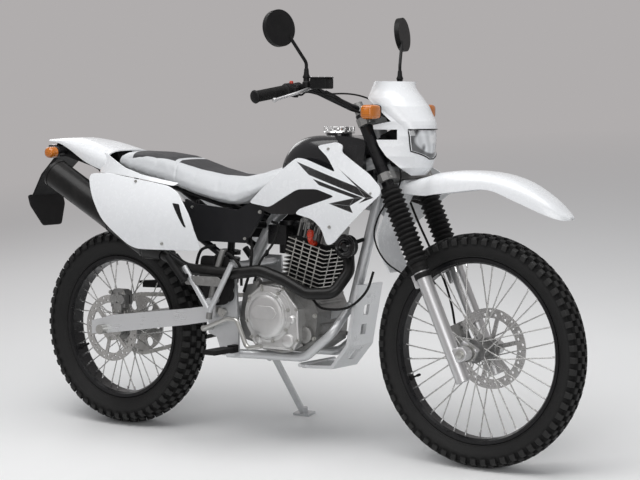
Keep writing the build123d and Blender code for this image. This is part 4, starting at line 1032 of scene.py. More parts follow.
class MakeWheelDetails(bpy.types.Operator):
    """Spoke nipples, disc bolts and tyre valves"""
    bl_idname = "moto.make_wheel_details"
    bl_label = "Wheel details"

    def execute(self, context):
        for body, axle, bed in (("front_wheel", FRONT_AXLE, 257.0), ("rear_wheel", REAR_AXLE, 220.0)):
            four = Shape()
            for k in range(4):
                side = 1 if k % 2 else -1
                turn = radians(10.0 * k)
                out = Vector((cos(turn), 0, sin(turn)))
                four.turned(out * (bed - 15) + Vector((0, side * 4.0, 0)), out,
                            [(0, 2.6), (6, 2.9), (13, 3.4), (16, 3.4)], 8)
            data = round_axle(four, 9, body + "_nipples", "chrome", axle)
            placed(data, body + "_nipples", body, "chrome", crease=30)
            valve = Shape()
            out = Vector((cos(radians(203)), 0, sin(radians(203))))
            start = Vector((axle[0], 0, axle[1])) + out * (bed - 34)
            valve.turned(start, out, [(0, 2.2), (2, 4.2), (12, 4.2), (13, 3.0), (28, 3.0), (30, 7.5),
                                      (35, 7.5)], 16)
            valve.piece(body + "_valve", body, "rubber")
        bolts("front_disc_bolts", "front_wheel", bolt_circle(FRONT_AXLE, 30, 62.2, 8.0))
        pairs = zip(bolt_circle(REAR_AXLE, 38, -77.2, 8.0), bolt_circle(REAR_AXLE, 50, 82.2, 10.0))
        bolts("rear_disc_bolts", "rear_wheel", [place for pair in pairs for place in pair])
        return {"FINISHED"}


class MakeChain(bpy.types.Operator):
    """Drive chain of separate links"""
    bl_idname = "moto.make_chain"
    bl_label = "Chain"

    def execute(self, context):
        (xr, zr), (xf, zf), big, small = REAR_AXLE, DRIVE_AXLE, SPROCKET_R, DRIVE_SPROCKET_R
        gap, tilt = hypot(xf - xr, zf - zr), atan2(zf - zr, xf - xr)
        turn = asin((big - small) / gap)
        up, down = tilt + pi / 2 - turn, tilt - pi / 2 + turn
        line = [(xf + small * cos(up + (down - up) * k / 12), CHAIN_Y,
                 zf + small * sin(up + (down - up) * k / 12))
                for k in range(13)]
        line += [(xr + big * cos(down + (up - 2 * pi - down) * k / 36), CHAIN_Y,
                  zr + big * sin(down + (up - 2 * pi - down) * k / 36)) for k in range(37)]
        data = bpy.data.meshes.new("chain_line")
        n = len(line)
        data.from_pydata(line, [(i, (i + 1) % n) for i in range(n)], [])
        pitch, link = 15.9, {"Height": 13.6, "Plate": 1.6, "Roller": 4.2, "Width": 5.0}
        tree = repeat_tree("Chain links", chain_copies, [
            ("Links", "NodeSocketInt", 106), ("Pitch", "NodeSocketFloat", pitch)] + [
            (name, "NodeSocketFloat", size) for name, size in link.items()])
        around = sum((Vector(b) - Vector(a)).length for a, b in zip(line, line[1:] + line[:1]))
        links = 2 * round(around / pitch / 2)
        made = grown(data, tree, {
            "Links": links, "Pitch": around / links, "Finish": FINISHES["steel"], **link}, "chain_links")
        made.transform(TO_PARK)
        placed(made, "chain_links", "frame", "steel", ("chain",), crease=30)
        return {"FINISHED"}


class MakeGaiters(bpy.types.Operator):
    """Bellows over the fork legs"""
    bl_idname = "moto.make_gaiters"
    bl_label = "Fork gaiters"

    def execute(self, context):
        low, high, folds = 285.0, 538.0, 15
        shape = Shape()
        way = on_fork(1) - on_fork(0)
        for side in SIDES:
            profile = [(0, 19.0), (0, 25.5), (12, 25.5), (13, 24.0)]
            span = (high - low - 26) / folds
            for i in range(folds):
                at = 14 + i * span
                profile += [(at, 26.0), (at + span * 0.22, 29.0), (at + span * 0.42, 33.4),
                            (at + span * 0.5, 34.0),
                            (at + span * 0.58, 33.4), (at + span * 0.8, 29.0)]
            profile += [(high - low - 11, 26.0), (high - low - 10, 27.5), (high - low, 27.5),
                        (high - low, 19.0)]
            shape.turned(on_fork(low, 0, side * LEG_Y), way, profile, 40)
        shape.piece("gaiter_bellows", "steering", "rubber", ("fork_gaiters",), crease=60)
        return {"FINISHED"}


class MakeSeat(bpy.types.Operator):
    """Seat cover blown up as cloth over its foam"""
    bl_idname = "moto.make_seat"
    bl_label = "Seat"

    def execute(self, context):
        s = context.scene.moto_seat
        rows = []
        profile = [  # x, half width at the foot, half width at the shoulder, foot z, shoulder z, crown z
            (-655, 74, 66, 868, 893, 901), (-600, 92, 80, 852, 892, 905), (-520, 106, 92, 836, 886, 903),
            (-430, 116, 102, 818, 872, 892), (-385, 120, 104, 806, 862, 880), (-300, 124, 106, 782, 836, 855),
            (-210, 124, 102, 762, 820, 838), (-130, 120, 96, 752, 815, 834), (-70, 110, 86, 778, 828, 846),
            (-20, 98, 76, 806, 846, 864), (24, 86, 66, 846, 872, 888)]
        for x, foot, wide, low, shoulder, crown in profile:
            half = [(foot * 0.7, low), (foot, low + 3), (foot + 1.0, low + 0.45 * (shoulder - low)),
                    (wide + 4, shoulder - 5), (wide - 6, shoulder + 5), (wide * 0.62, crown - 2),
                    (wide * 0.2, crown)]
            rows.append([Vector((x, y, z)) for y, z in half] + [Vector((x, -y, z)) for y,
                                                            z in reversed(half)])
        shape = Shape()
        shape.rings(rows)
        data = shape.mesh("seat_form")
        data.transform(TO_PARK)
        item = bpy.data.objects.new("seat_cover", data)
        bpy.context.scene.collection.objects.link(item)
        data.materials.append(FINISHES["vinyl"])
        grid = item.modifiers.new("grid", "REMESH")
        grid.mode, grid.voxel_size = "VOXEL", s.voxel
        bpy.context.view_layer.update()
        cloth = evaluated(item)
        item.modifiers.clear()
        item.data = cloth
        rest = [v.co.copy() for v in cloth.vertices]
        sim = item.modifiers.new("cloth", "CLOTH")
        sim.settings.use_pressure = True
        sim.settings.uniform_pressure_force = s.pressure
        sim.settings.effector_weights.gravity = 0.0
        sim.settings.quality = 5
        sim.settings.mass = 0.4
        sim.settings.tension_stiffness = sim.settings.compression_stiffness = 25.0
        sim.point_cache.frame_start, sim.point_cache.frame_end = 1, 20
        for step in range(1, 21):
            context.scene.frame_set(step)
        blown = evaluated(item)
        item.modifiers.clear()
        for i, v in enumerate(blown.vertices):
            move = v.co - rest[i]
            if move.length > s.swell:
                v.co = rest[i] + move * (s.swell / move.length)
        item.data = blown
        context.scene.frame_set(1)
        finer = item.modifiers.new("finer", "SUBSURF")
        finer.levels = finer.render_levels = 1
        bpy.context.view_layer.update()
        final = evaluated(item)
        item.modifiers.clear()
        back = PARK.inverted()
        normals = [v.normal.copy() for v in final.vertices]
        for v, out in zip(final.vertices, normals):  # sewn seams, pressed in after the cover is blown up
            p = back @ v.co / MM
            across = abs(p.y)
            seam = abs(p.x + 395.0 - 0.35 * max(0.0, across - 60.0))
            groove = 3.0 * max(0.0, 1.0 - seam / 5.0)
            edge = 80.0 - 0.12 * max(0.0, p.x + 400.0)
            if -600 < p.x < -100 and out.z > 0.3:
                groove = max(groove, 1.6 * max(0.0, 1.0 - abs(across - edge) / 4.0))
            v.co -= out * groove * MM
        final.materials.clear()
        final.materials.append(FINISHES["vinyl"])
        final.shade_smooth()
        item.data = final
        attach(item, "frame")
        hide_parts("seat")
        return {"FINISHED"}


# How far out the side panels and shrouds stand: (x, [(y, z) at three heights]).
PANEL_BOW = [(-720, [(168, 860), (204, 770), (214, 580)]), (-450, [(178, 860), (222, 770), (204, 580)]),
             (-170, [(120, 860), (176, 770), (160, 580)])]
SHROUD_BOW = [(-90, [(100, 970), (124, 800), (100, 600)]), (180, [(118, 970), (182, 800), (140, 600)]),
              (490, [(138, 970), (206, 800), (168, 600)])]


def arch(sections):
    """Rows of a thin cover, bowed over, through sections: (x, half width, crest, edge)."""
    flat, wall, rows = 0.62, 4.0, []
    lows = smooth([Vector((x, 0, edge)) for x, _, _, edge in sections], 5)
    for place, low in zip(smooth([Vector((x, w, top)) for x, w, top, _ in sections], 5), lows):
        def ring(inset):
            return [Vector((place.x, (place.y - inset) * (abs(cos(pi * k / 16)) ** 0.55)
                            * (1 if k < 8 else -1), low.z + (place.z - inset - low.z)
                            * max(0.0, sin(pi * k / 16)) ** flat)) for k in range(17)]
        rows.append(ring(0.0) + ring(wall)[::-1])
    return rows


def side_panels():
    """Side panels with their slots."""
    outline = [(-682, 840), (-645, 775), (-583, 695), (-524, 651), (-480, 617), (-448, 606), (-209, 607),
               (-241, 717), (-293, 787), (-336, 809), (-584, 843)]
    panels = Shape()
    panels.skins(rounded(outline, 26), PANEL_BOW, 4.0)
    panels.piece("side_panel_skins", "frame", "white", ("side_panels",), 1.0, 50)
    vents = Shape()
    vents.skins(rounded([(-306, 756), (-282, 753), (-253, 680), (-262, 684)], 4), PANEL_BOW, 3.0, 8, 0.8)
    vents.piece("side_panel_vents", "frame", "black", crease=50)


def shrouds():
    """Tank shrouds and the dark panels under them."""
    outline = [(129, 904), (-66, 761), (29, 751), (152, 810), (230, 813), (305, 793), (162, 751),
               (144, 736),
               (214, 723), (248, 695), (257, 644), (286, 654), (470, 804), (467, 824), (422, 861),
               (299, 923),
               (296, 942), (269, 952), (196, 940), (252, 907), (297, 863), (166, 900)]
    shrouds = Shape()
    shrouds.skins(rounded(outline, 16), SHROUD_BOW, 4.0, 16)
    shrouds.piece("shroud_skins", "frame", "shroud", ("shrouds",), 1.0, 50)
    under = [(-16, 748), (-4, 742), (33, 731), (136, 733), (202, 757), (286, 790), (306, 798), (277, 808),
             (206, 815),
             (148, 813), (86, 786), (18, 754)]
    dark = Shape()
    dark.skins(rounded(under, 10), SHROUD_BOW, 5.0, 16, -3.0)
    dark.piece("shroud_inner_panels", "frame", "gloss_black", (), 0.8, 50)


def front_fender():
    """Front fender, the guard behind the wheel and its mount."""
    fender = Shape()
    fender.rings(arch([(448, 50, 834.8, 799.8), (520, 56, 852.8, 795.8), (570, 74, 864.8, 801.8),
                       (650, 82, 871.8, 811.8), (750, 78, 865.8, 819.8), (840, 70, 841.8, 787.8),
                       (920, 54, 797.8, 753.8), (966, 34, 762, 738), (985, 14, 747, 738.5)]))
    guard = smooth([Vector((432, 0, 825.8)), Vector((380, 0, 723.8)), Vector((360, 0, 665.8)),
                    Vector((372, 0, 613.8)), Vector((404, 0, 561.8))], 5)
    strip = [Vector(v) for v in ((0, -56, 0), (-3, 0, 0), (0, 56, 0), (4, 56, 2), (1, 0, 2), (4, -56, 2))]
    fender.rings([[p + v for v in strip] for p in guard])
    fender.block(on_fork(541, -1), (48, 74, 22), Matrix.Rotation(-RAKE, 3, "Y"), 5)
    fender.piece("front_fender_skin", "steering", "white", ("front_fender",), 0.6, 50)


def tail_cowl():
    """Rear fender with the strips under the seat."""
    cowl = Shape()
    crest = [(-985, 50, 946, 938), (-900, 88, 951, 932), (-845, 98, 950, 912), (-760, 112, 938, 872),
             (-664, 126, 914, 844)]
    cowl.rings(arch(crest))
    strip = [(-684, 908), (-640, 892), (-560, 860), (-480, 840), (-400, 826), (-338, 815), (-350, 806),
             (-470, 826), (-584, 838), (-684, 841)]
    cowl.skins(rounded(strip, 10), [
        (-680, [(106, 905), (118, 872), (131, 838)]), (-540, [(128, 905), (142, 872), (160, 838)]),
        (-340, [(116, 850), (137, 822), (152, 800)])], 4.0)
    cowl.piece("tail_cowl", "frame", "white", ("rear_fender",), 0.8, 50)


class MakePanels(bpy.types.Operator):
    """Side panels, shrouds and the dark panels under them, smoothly bowed"""
    bl_idname = "moto.make_panels"
    bl_label = "Panels"

    def execute(self, context):
        side_panels()
        shrouds()
        front_fender()
        tail_cowl()
        return {"FINISHED"}


def steered(x, y, z):
    """A point drawn from the middle of the top clamp."""
    return Vector((320 + x, y, 985.8 + z))


def on_bar(y, forward=0.0, up=0.0):
    """A point on the handlebar's outer run."""
    share = (abs(y) - 205) / 187
    return Vector((210 - 47 * share + forward, y, 1117 - 31 * share + up))


def bar_controls():
    """Switch housings, levers, mirror sockets, fluid box and their leads."""
    dark, bright, red = Shape(), Shape(), Shape()
    for side in SIDES:
        out = (on_bar(side * 390) - on_bar(side * 210)).normalized()
        dark.turned(on_bar(side * 232), out, [(0, 12.2), (0, 15.5), (3, 17), (22, 17), (25, 15),
                                              (25, 12.2)], 24)
        dark.turned(on_bar(side * 259), out, [(0, 12.2), (0, 17), (2, 20), (16, 20.5), (18, 18), (20, 18),
                                              (21, 21), (26, 21), (27, 17)], 28)
        dark.block(on_bar(side * 268, 14, -6), (26, 24, 30), Matrix.Rotation(radians(12), 3, "Y"), 5)
        dark.block(on_bar(side * 240, 26, 2), (34, 22, 20), Matrix.Rotation(radians(-8), 3, "Y"), 5)
        dark.turned(steered(-80, side * 250, 128), (0, 0, 1),
                    [(0, 12), (14, 12), (18, 9), (26, 9), (28, 11), (31, 11),
                                                               (38, 8), (52, 6.8), (56, 5.4)], 20)
        dark.turned(on_bar(side * 398), out, [(-6, 15), (-6, 19), (-2, 20), (1, 18), (3, 12)], 24)
        pivot = on_bar(side * 240, 44, 2)
        bright.turned(pivot - Vector((0, 0, 7)), (0, 0, 1), [(0, 7), (14, 7), (15, 5)], 16)
        blade = [pivot, on_bar(side * 262, 52, -1), on_bar(side * 300, 60, -4),
                 on_bar(side * 345, 58, -8),
                 on_bar(side * 384, 60, -11)]
        bright.rod(blade, 5.4, 12, 4.2)
        bright.turned(blade[-1] - out * 5, out, [(0, 3), (2, 6), (6, 7), (10, 6), (12, 3)], 16)
    dark.block(steered(-30, -244, 138), (60, 42, 30), None, 5)
    dark.block(steered(-30, -244, 155), (64, 46, 5), None, 6)
    dark.rod([steered(-58, -240, 132), steered(-40, -225, 110), steered(-20, -190, 96),
              steered(-6, -150, 82)], 3.6, 8)
    dark.rod([on_bar(-264, 16, -14), on_bar(-240, 14, -20), on_bar(-212, 12, -16),
              steered(-60, -150, 96)], 3.0, 8)
    dark.rod([on_bar(264, 16, -14), on_bar(240, 14, -20), on_bar(212, 12, -16), steered(-60, 150, 96)],
             3.0, 8)
    red.turned(on_bar(-268, 4, 18), (0.1, 0, 1), [(0, 6), (6, 6), (8, 4.5)], 16)
    for y in (-262, -226):
        for x in (-54, -6):
            bright.turned(steered(x, y, 157), (0, 0, 1), [(0, 3), (1.6, 3), (2.2, 2)], 12)
    dark.piece("control_housings", "steering", "black_plastic", ("bar_controls",), 0.6)
    bright.piece("control_levers", "steering", "fork", bevel=0.4)
    red.piece("stop_switch", "steering", "cap", bevel=0.4)


def ribbed_grips():
    """Grips with rings round them."""
    grips = Shape()
    for side in SIDES:
        out = (on_bar(side * 390) - on_bar(side * 210)).normalized()
        profile = [(0, 11.5), (0, 19), (3, 20), (6, 17)]
        for k in range(17):
            profile += [(8 + k * 6.2, 15.4), (9.2 + k * 6.2, 16.8), (12.2 + k * 6.2, 16.8),
                        (13.2 + k * 6.2, 15.4)]
        profile += [(116, 17), (119, 18), (121, 16), (121, 11.5)]
        grips.turned(on_bar(side * 283), out, profile, 32)
    grips.piece("ribbed_grips", "steering", "rubber", ("grips",), crease=50)


class MakeControls(bpy.types.Operator):
    """Switches, levers, fluid box and mirror sockets on the handlebar"""
    bl_idname = "moto.make_controls"
    bl_label = "Bar controls"

    def execute(self, context):
        bar_controls()
        ribbed_grips()
        return {"FINISHED"}


def front_signals():
    """Front turn signals on their stems."""
    lens, base = Shape(), Shape()

    def slice_at(middle, side, y, wide, high):
        """A rounded section of a signal lens."""
        return [steered(middle[0] + wide / 2 * a, side * y, middle[1] + high / 2 * b)
                for a, b in squared(24, 0.45)]
    for side in SIDES:
        lens.rings([slice_at((80, 56), side, y, w, h) for y, w, h in (
            (130, 36, 34), (131, 42, 40), (150, 44, 43), (168, 43, 42), (176, 38, 37), (180, 28, 28))])
        base.rings([slice_at((76, 56), side, y, w, h) for y, w, h in (
            (96, 12, 12), (112, 16, 16), (120, 30, 28), (123, 47, 43), (131, 47, 44), (132, 40, 38))])
        start = steered(70, side * 66, 50)
        base.rod([start, steered(73, side * 84, 54), steered(76, side * 104, 56)], 8.5, 14)
    lens.piece("front_signal_lenses", "steering", "amber", ("front_signals",), crease=60)
    base.piece("front_signal_stems", "steering", "black_plastic", crease=60)


def rear_signals():
    """Rear turn signals on one tube."""
    lens, base = Shape(), Shape()
    for side in SIDES:
        at = Vector((-880, side * 126, 904))
        lens.turned(at + Vector((0, side * 8, 0)), (0, side, 0),
                    [(0, 18.6), (20, 18.4), (30, 17), (34, 12), (35, 4)], 28)
        base.turned(at - Vector((0, side * 34, 0)), (0, side, 0),
                    [(0, 8), (22, 9), (30, 15), (33, 19.4), (43, 19.4),
                                                                   (44, 17)], 28)
    base.rod([(-880, -98, 904), (-880, 0, 904), (-880, 98, 904)], 7.5, 12)
    lens.piece("rear_signal_lenses", "frame", "amber", ("rear_signals",), crease=60)
    base.piece("rear_signal_stems", "frame", "black_plastic", crease=60)


def lamp_gasket():
    """A black bead round the headlamp, laid on the mask: partly the rim round the lens, partly painted shade
    of the gap there.
    """
    rim = [(-70, 4), (70, 4), (62, -60), (11, -83), (-11, -83), (-62, -60)]
    line = []
    for (y0, z0), (y1, z1) in zip(rim, rim[1:] + rim[:1]):
        for k in range(8):
            y, z = y0 + (y1 - y0) * k / 8, z0 + (z1 - z0) * k / 8
            at = met("headlight_mask", steered(300, y, z), (-1, 0, 0))
            if at:
                line.append(at)
    trim = Shape()
    trim.loop(line, 2.2, 8)
    # black bead: partly the rim round the lens, partly painted shade of the gap between lens and mask
    trim.piece("lamp_gasket", "steering", "gloss_black", crease=60)


def tail_lamp():
    """Lens of the tail lamp."""
    lens = Shape()
    lens.rings([[Vector((x, w * a, 913 + h * b)) for a, b in squared(32, 0.5)]
                for x, w, h in ((-958, 53, 16.5), (-976, 53, 16.5), (-982, 50, 14.5), (-985, 40, 9))])
    lens.piece("tail_lamp_lens", "frame", "red", ("tail_lamp",), crease=60)


class MakeLamps(bpy.types.Operator):
    """Turn signals, the tail lamp's lens and the bead round the headlamp"""
    bl_idname = "moto.make_lamps"
    bl_label = "Lamps"

    def execute(self, context):
        front_signals()
        rear_signals()
        lamp_gasket()
        tail_lamp()
        return {"FINISHED"}


CYLINDER_TILT = radians(15.0)


def barrel(x, y, along):
    """A point on the tilted cylinder."""
    tilt = CYLINDER_TILT
    return Vector((78 + x * cos(tilt) + along * sin(tilt), y, 500 - x * sin(tilt) + along * cos(tilt)))


# Outline of the right engine case, in X and Z.
CASE_RIM = [(-60, 345), (-40, 318), (96, 316), (116, 345), (112, 440), (60, 500), (-20, 505), (-66, 470)]


def engine_covers():
    """Clutch and generator covers with their raised rims."""
    cover = Shape()
    cover.turned((4, -84, 416), (0, -1, 0), [(0, 90), (2, 92), (12, 92), (14, 90), (34, 89), (42, 86),
                                             (45, 80),
                                            (45.2, 72), (52, 70), (58, 64), (61.5, 52), (62, 30), (62.4, 1)],
                                            64)
    cover.slab(rounded([(-34, -20), (34, -20), (50, 0), (34, 20), (-34, 20), (-50, 0)], 10), 5,
               (2, -149, 426), (1, 0, 0), (0, 0, 1))
    for (x0, z0), (x1, z1) in zip(CASE_RIM, CASE_RIM[1:] + CASE_RIM[:1]):
        cover.rod([(x0, -122, z0), ((x0 + x1) / 2, -124, (z0 + z1) / 2), (x1, -122, z1)], 5.0, 8)
    for x, z, r in ((82, 342, 20), (-30, 338, 10), (96, 408, 12)):
        cover.turned((x, -124, z), (0, -1, 0), [(0, r + 3), (5, r + 2), (9, r), (12, r * 0.7), (12.4, 1)], 32)
    cover.rod([(40, -118, 492), (52, -112, 512), (74, -100, 520), (96, -88, 506)], 7, 12)
    cover.turned((48, 122, 404), (0, 1, 0), [(0, 76), (6, 76), (9, 72), (10, 60), (14, 56), (16, 40),
                                             (16.4, 1)], 56)
    cover.piece("clutch_and_generator_covers", "frame", "cover_alloy", (), 0.8, 30)


def engine_bolts():
    """Bolts round the covers, the cases and the head."""
    places = [((4 + 81 * cos(radians(a)), -129, 416 + 81 * sin(radians(a))), (0, -1, 0), 8.0)
              for a in range(15, 375, 45)]
    places += [((x, -126, z), (0, -1, 0), 8.0) for x, z in CASE_RIM]
    places += [((48 + 68 * cos(radians(a)), 130, 404 + 68 * sin(radians(a))), (0, 1, 0),
                8.0) for a in range(0, 360, 60)]
    places += [((x, side * 86, z), (0, side, 0), 10.0) for side in SIDES
               for x, z in ((150, 350), (154, 420), (-50, 320), (130, 476))]
    places += [(barrel(x, y, 207), (0.26, 0, 0.966), 9.0) for x in (-46, 0, 46) for y in (-46, 46)]
    bolts("engine_bolts", "frame", places)


def fin_posts():
    """Small posts between the cylinder's fins."""
    posts = Shape()
    turn = Matrix.Rotation(CYLINDER_TILT, 3, "Y")
    for side in SIDES:
        for x in (-44, -14, 16, 46):
            posts.block(barrel(x, side * 70, 78), (4, 8, 140), turn)
        for x in (-36, 0, 36):
            posts.block(barrel(x, side * 60, 178), (5, 14, 44), turn, 1.5)
    for y in (-44, 0, 44):
        posts.block(barrel(69, y, 78), (8, 4, 140), turn)
    posts.piece("fin_posts", "frame", "iron", bevel=0.3)


def rocker_caps():
    """Valve covers on the head."""
    rocker, turn = Shape(), Matrix.Rotation(CYLINDER_TILT, 3, "Y")
    for x in (-30, 30):
        rocker.turned(barrel(x, -52, 196), (0, -1, 0), [(0, 17), (8, 17), (10, 14), (12, 12), (12.4, 1)], 28)
    rocker.block(barrel(0, 0, 209), (88, 80, 10), turn, 8)
    for k in range(4):
        rocker.block(barrel(-30 + 20 * k, -62, 190), (3, 12, 22), turn)
    rocker.piece("rocker_caps", "frame", "cast", bevel=0.5)


def spark_cap():
    """Cap of the spark plug."""
    cap = Shape()
    cap.rod([barrel(20, -64, 150), barrel(22, -84, 156), barrel(24, -98, 166), barrel(25, -104, 178)], 9.5,
            16, 8.0)
    cap.turned(barrel(25, -104, 176), (0.30, -0.25, 0.9), [(0, 8), (3, 11), (18, 10), (22, 7), (23, 4)], 24)
    cap.piece("spark_cap", "frame", "cap", bevel=0.3)


def leads():
    """Spark lead and two hoses on the right of the engine."""
    lead = Shape()
    lead.rod([barrel(26, -106, 196), barrel(30, -100, 222), barrel(10, -80, 250), barrel(-20, -50, 268),
              barrel(-30, -30, 276)], 3.6, 10)
    lead.rod([(-52, -120, 520), (-20, -134, 580), (20, -120, 640), (10, -80, 690), (-30, -60, 700)], 4.0, 8)
    lead.rod([(-110, -100, 480), (-70, -118, 560), (-80, -100, 640), (-110, -90, 690)], 4.5, 8)
    lead.piece("spark_lead_and_hoses", "frame", "rubber")


def guard_and_hoses():
    """Dark plate behind the engine on the right, with three hoses."""
    dark = Shape()
    dark.slab(rounded([(-252, 590), (-142, 590), (-120, 500), (-150, 440), (-228, 430), (-262, 520)], 14), 4,
              (0, -136, 0), (1, 0, 0), (0, 0, 1))
    dark.block((-205, -142, 520), (36, 22, 60), Matrix.Rotation(radians(-20), 3, "Y"), 6)
    dark.turned((-150, -122, 470), (0, -1, 0), [(0, 22), (10, 22), (12, 18), (12.4, 1)], 24)
    dark.rod([(-196, -142, 548), (-190, -140, 590), (-150, -130, 600), (-110, -120, 560), (-112, -110, 500)],
             4.5, 8)
    dark.rod([(-262, -120, 470), (-290, -116, 520), (-270, -118, 600), (-210, -118, 622)], 5.0, 8)
    dark.rod([(330, -30, 560), (322, -60, 500), (270, -80, 452), (190, -96, 446), (150, -92, 470)], 4.0, 8)
    dark.piece("hoses_and_guard", "frame", "rubber")


def brackets():
    """Small brackets and pipes on the right of the engine."""
    small = Shape()
    small.rod([(-214, -146, 392), (-200, -147, 470), (-176, -145, 560), (-160, -140, 612)], 10.0, 14)
    small.slab(rounded([(-276, 500), (-140, 500), (-132, 520), (-150, 530), (-270, 528), (-284, 516)], 6), 4,
               (0, -184, 0), (1, 0, 0), (0, 0, 1))
    for x in (-250, -210, -170):
        small.turned((x, -183, 514), (0, -1, 0), [(0, 9), (1.5, 9), (2, 6)], 20)
    small.turned((-60, -86, 512), (0, -1, 0), [(0, 12), (18, 12), (20, 8)], 20)
    small.rod([(-62, -104, 514), (-40, -112, 530), (0, -112, 536)], 4.5, 10)
    for k in range(4):
        small.slab([(150 - 3 * k, 352 + 34 * k), (166 - 3 * k, 352 + 34 * k), (164 - 3 * k, 358 + 34 * k),
                    (148 - 3 * k, 358 + 34 * k)], 120, (0, -60, 0), (1, 0, 0), (0, 0, 1))
    small.turned((122, -84, 360), (0, -1, 0), [(0, 26), (14, 26), (17, 22), (18, 12), (18.4, 1)], 28)
    small.rod([(112, -92, 330), (60, -108, 308), (-30, -104, 312)], 7, 10)
    small.piece("engine_brackets", "frame", "cast", bevel=0.4)


def horn_face():
    """Rings on the horn's face."""
    horn = Shape()
    horn.turned((262, -82, 637), (0, -1, 0), [(0, 30), (0, 36), (4, 37), (6, 35), (6, 31), (4.5, 29),
                                              (5.5, 25), (4, 22),
                                             (6, 18), (4, 15), (7, 10), (8, 8), (8.4, 1)], 40)
    horn.piece("horn_face", "frame", "gloss_black", crease=35, slot="black_paint")


class MakeEngineDetails(bpy.types.Operator):
    """Covers, bolts, fin posts, spark cap, hoses, brackets and horn face"""
    bl_idname = "moto.make_engine_details"
    bl_label = "Engine details"

    def execute(self, context):
        engine_covers()
        engine_bolts()
        fin_posts()
        rocker_caps()
        spark_cap()
        leads()
        guard_and_hoses()
        brackets()
        horn_face()
        return {"FINISHED"}


def tank_cap():
    """Filler cap with its grip."""
    cap = Shape()
    cap.turned((183, 0, 975.3), (0, 0, 1), [(0, 48), (3, 49), (7, 47), (8, 42), (20, 40), (22, 36),
                                            (22.5, 1)], 48)
    for k in range(12):
        a = 2 * pi * k / 12
        cap.block((183 + 42 * cos(a), 42 * sin(a), 989), (12, 9, 15), Matrix.Rotation(a, 3, "Z"), 3)
    cap.piece("tank_cap_ring", "frame", "chrome", ("tank_cap",), 0.6)


def muffler_trim():
    """Bands, end ring and bolts of the muffler."""
    back, front = Vector((-862, -148, 836)), Vector((-440, -148, 612))
    way = (front - back).normalized()
    can = Shape()
    for at, wide in ((0, 9), (300, 7), (462, 7)):
        can.turned(back + way * at, way, [(0, 47), (0, 49.6), (wide, 49.6), (wide, 47)], 48)
    can.turned(back - way * 1, way, [(0, 40), (1, 46), (6, 48.5), (8, 47)], 48)
    can.turned(back - way * 30, way, [(0, 12.4), (0, 15.5), (3, 16.5), (28, 16.5), (31, 22), (33, 22)], 28)
    can.piece("muffler_bands", "frame", "heat_black", crease=35)
    over = way.cross(Vector((0, 1, 0)))
    places = [(back - way * 1.5 + over * 34 * cos(a) + Vector((0, 34 * sin(a), 0)), -way, 7.0)
              for a in [radians(60 * k) for k in range(6)]]
    bolts("muffler_bolts", "frame", places)


def rear_caliper():
    """Shell, pistons and bolts of the rear caliper."""
    shell = Shape()
    for x in (-652, -622):
        shell.turned((x, -95, 424), (0, -1, 0), [(0, 17), (6, 17), (9, 15), (9.5, 10), (8, 9), (8, 1)], 28)
    shell.block((-637, -96, 424), (52, 10, 22), None, 5)
    shell.block((-637, -79, 452), (50, 30, 9), None, 4)
    shell.block((-637, -100, 396), (40, 8, 34), None, 8)
    for x, z in ((-666, 446), (-608, 446), (-637, 440)):
        shell.turned((x, -94, z), (0, -1, 0), [(0, 7), (8, 7), (9, 5), (9, 1)], 20)
    shell.piece("rear_caliper_shell", "frame", "cast", bevel=0.5)
    bolts("rear_caliper_bolts", "frame", [((x, -103, z), (0, -1, 0), 6) for x, z in
          ((-666, 446), (-608, 446), (-649, 386), (-625, 386))])


def plate_flap():
    """Flap that carries the number plate, with its bolts."""
    strap = ((-1014, 826), (-1056, 755), (-1050, 752), (-1008, 822), (-928, 888), (-928, 897.2),
             (-938, 897.9))
    flap = Shape()
    flap.rings([[(x, y, z) for x, z in strap] for y in (-60, 60)])
    rise = Vector((-32, 0, 107))
    flap.slab(rounded([(-84, 111), (-84, 74), (-44, 1), (44, 1), (84, 74), (84, 111)], 9), 6,
              (-1018.25, 0, 649.7), (0, 1, 0), rise)
    for y in (-30, 0, 30):
        flap.rod([(-1035, y, 668), (-1045, y, 700), (-1055, y, 735)], 3, 8)
    flap.piece("plate_flap", "frame", "black_plastic", ("plate_bracket",), 0.8)
    bolts("plate_bolts", "frame", [((-1049.6, y, 732.3), (-0.958, 0, -0.2865), 7) for y in (-60, 60)])


def panel_screws():
    """Screws of the side panels, the shrouds and the box between them."""
    places = []
    for side in SIDES:
        for x, z, size, bow in ((-463, 820, 8, PANEL_BOW), (-348, 627, 9, PANEL_BOW),
                                (246, 931, 8, SHROUD_BOW),
                                (281, 702, 9, SHROUD_BOW), (436, 806, 6, SHROUD_BOW)):
            places.append(((x, bowed(bow, side)(x, z), z), (0, side, 0), size))
        places += [((-30, side * 120, 733), (0, side, 0), 10), ((-300, side * 120, 740), (0, side, 0), 8),
                   ((-90, side * 120, 648), (0, side, 0), 8)]
    bolts("panel_screws", "frame", places, 0.8)


def wheel_nuts():
    """Nuts of the axles, the swing arm and the fork clamps."""
    nuts = Shape()
    for y, side in ((-122, -1), (122, 1)):
        nuts.hexagon((REAR_AXLE[0], y, REAR_AXLE[1]), (0, side, 0), 22, 12)
        nuts.hexagon((-190, side * 118, 420), (0, side, 0), 20, 12)
    nuts.piece("axle_nuts", "frame", "steel", bevel=0.4)
    nuts = Shape()
    for side in SIDES:
        nuts.hexagon((FRONT_AXLE[0], side * 112, FRONT_AXLE[1]), (0, side, 0), 20, 9)
        for along in (562, 574, 741, 753):
            nuts.hexagon(on_fork(along, 24, side * 106), (cos(RAKE), 0, sin(RAKE)), 8, 5)
    nuts.piece("fork_nuts", "steering", "steel", bevel=0.3)


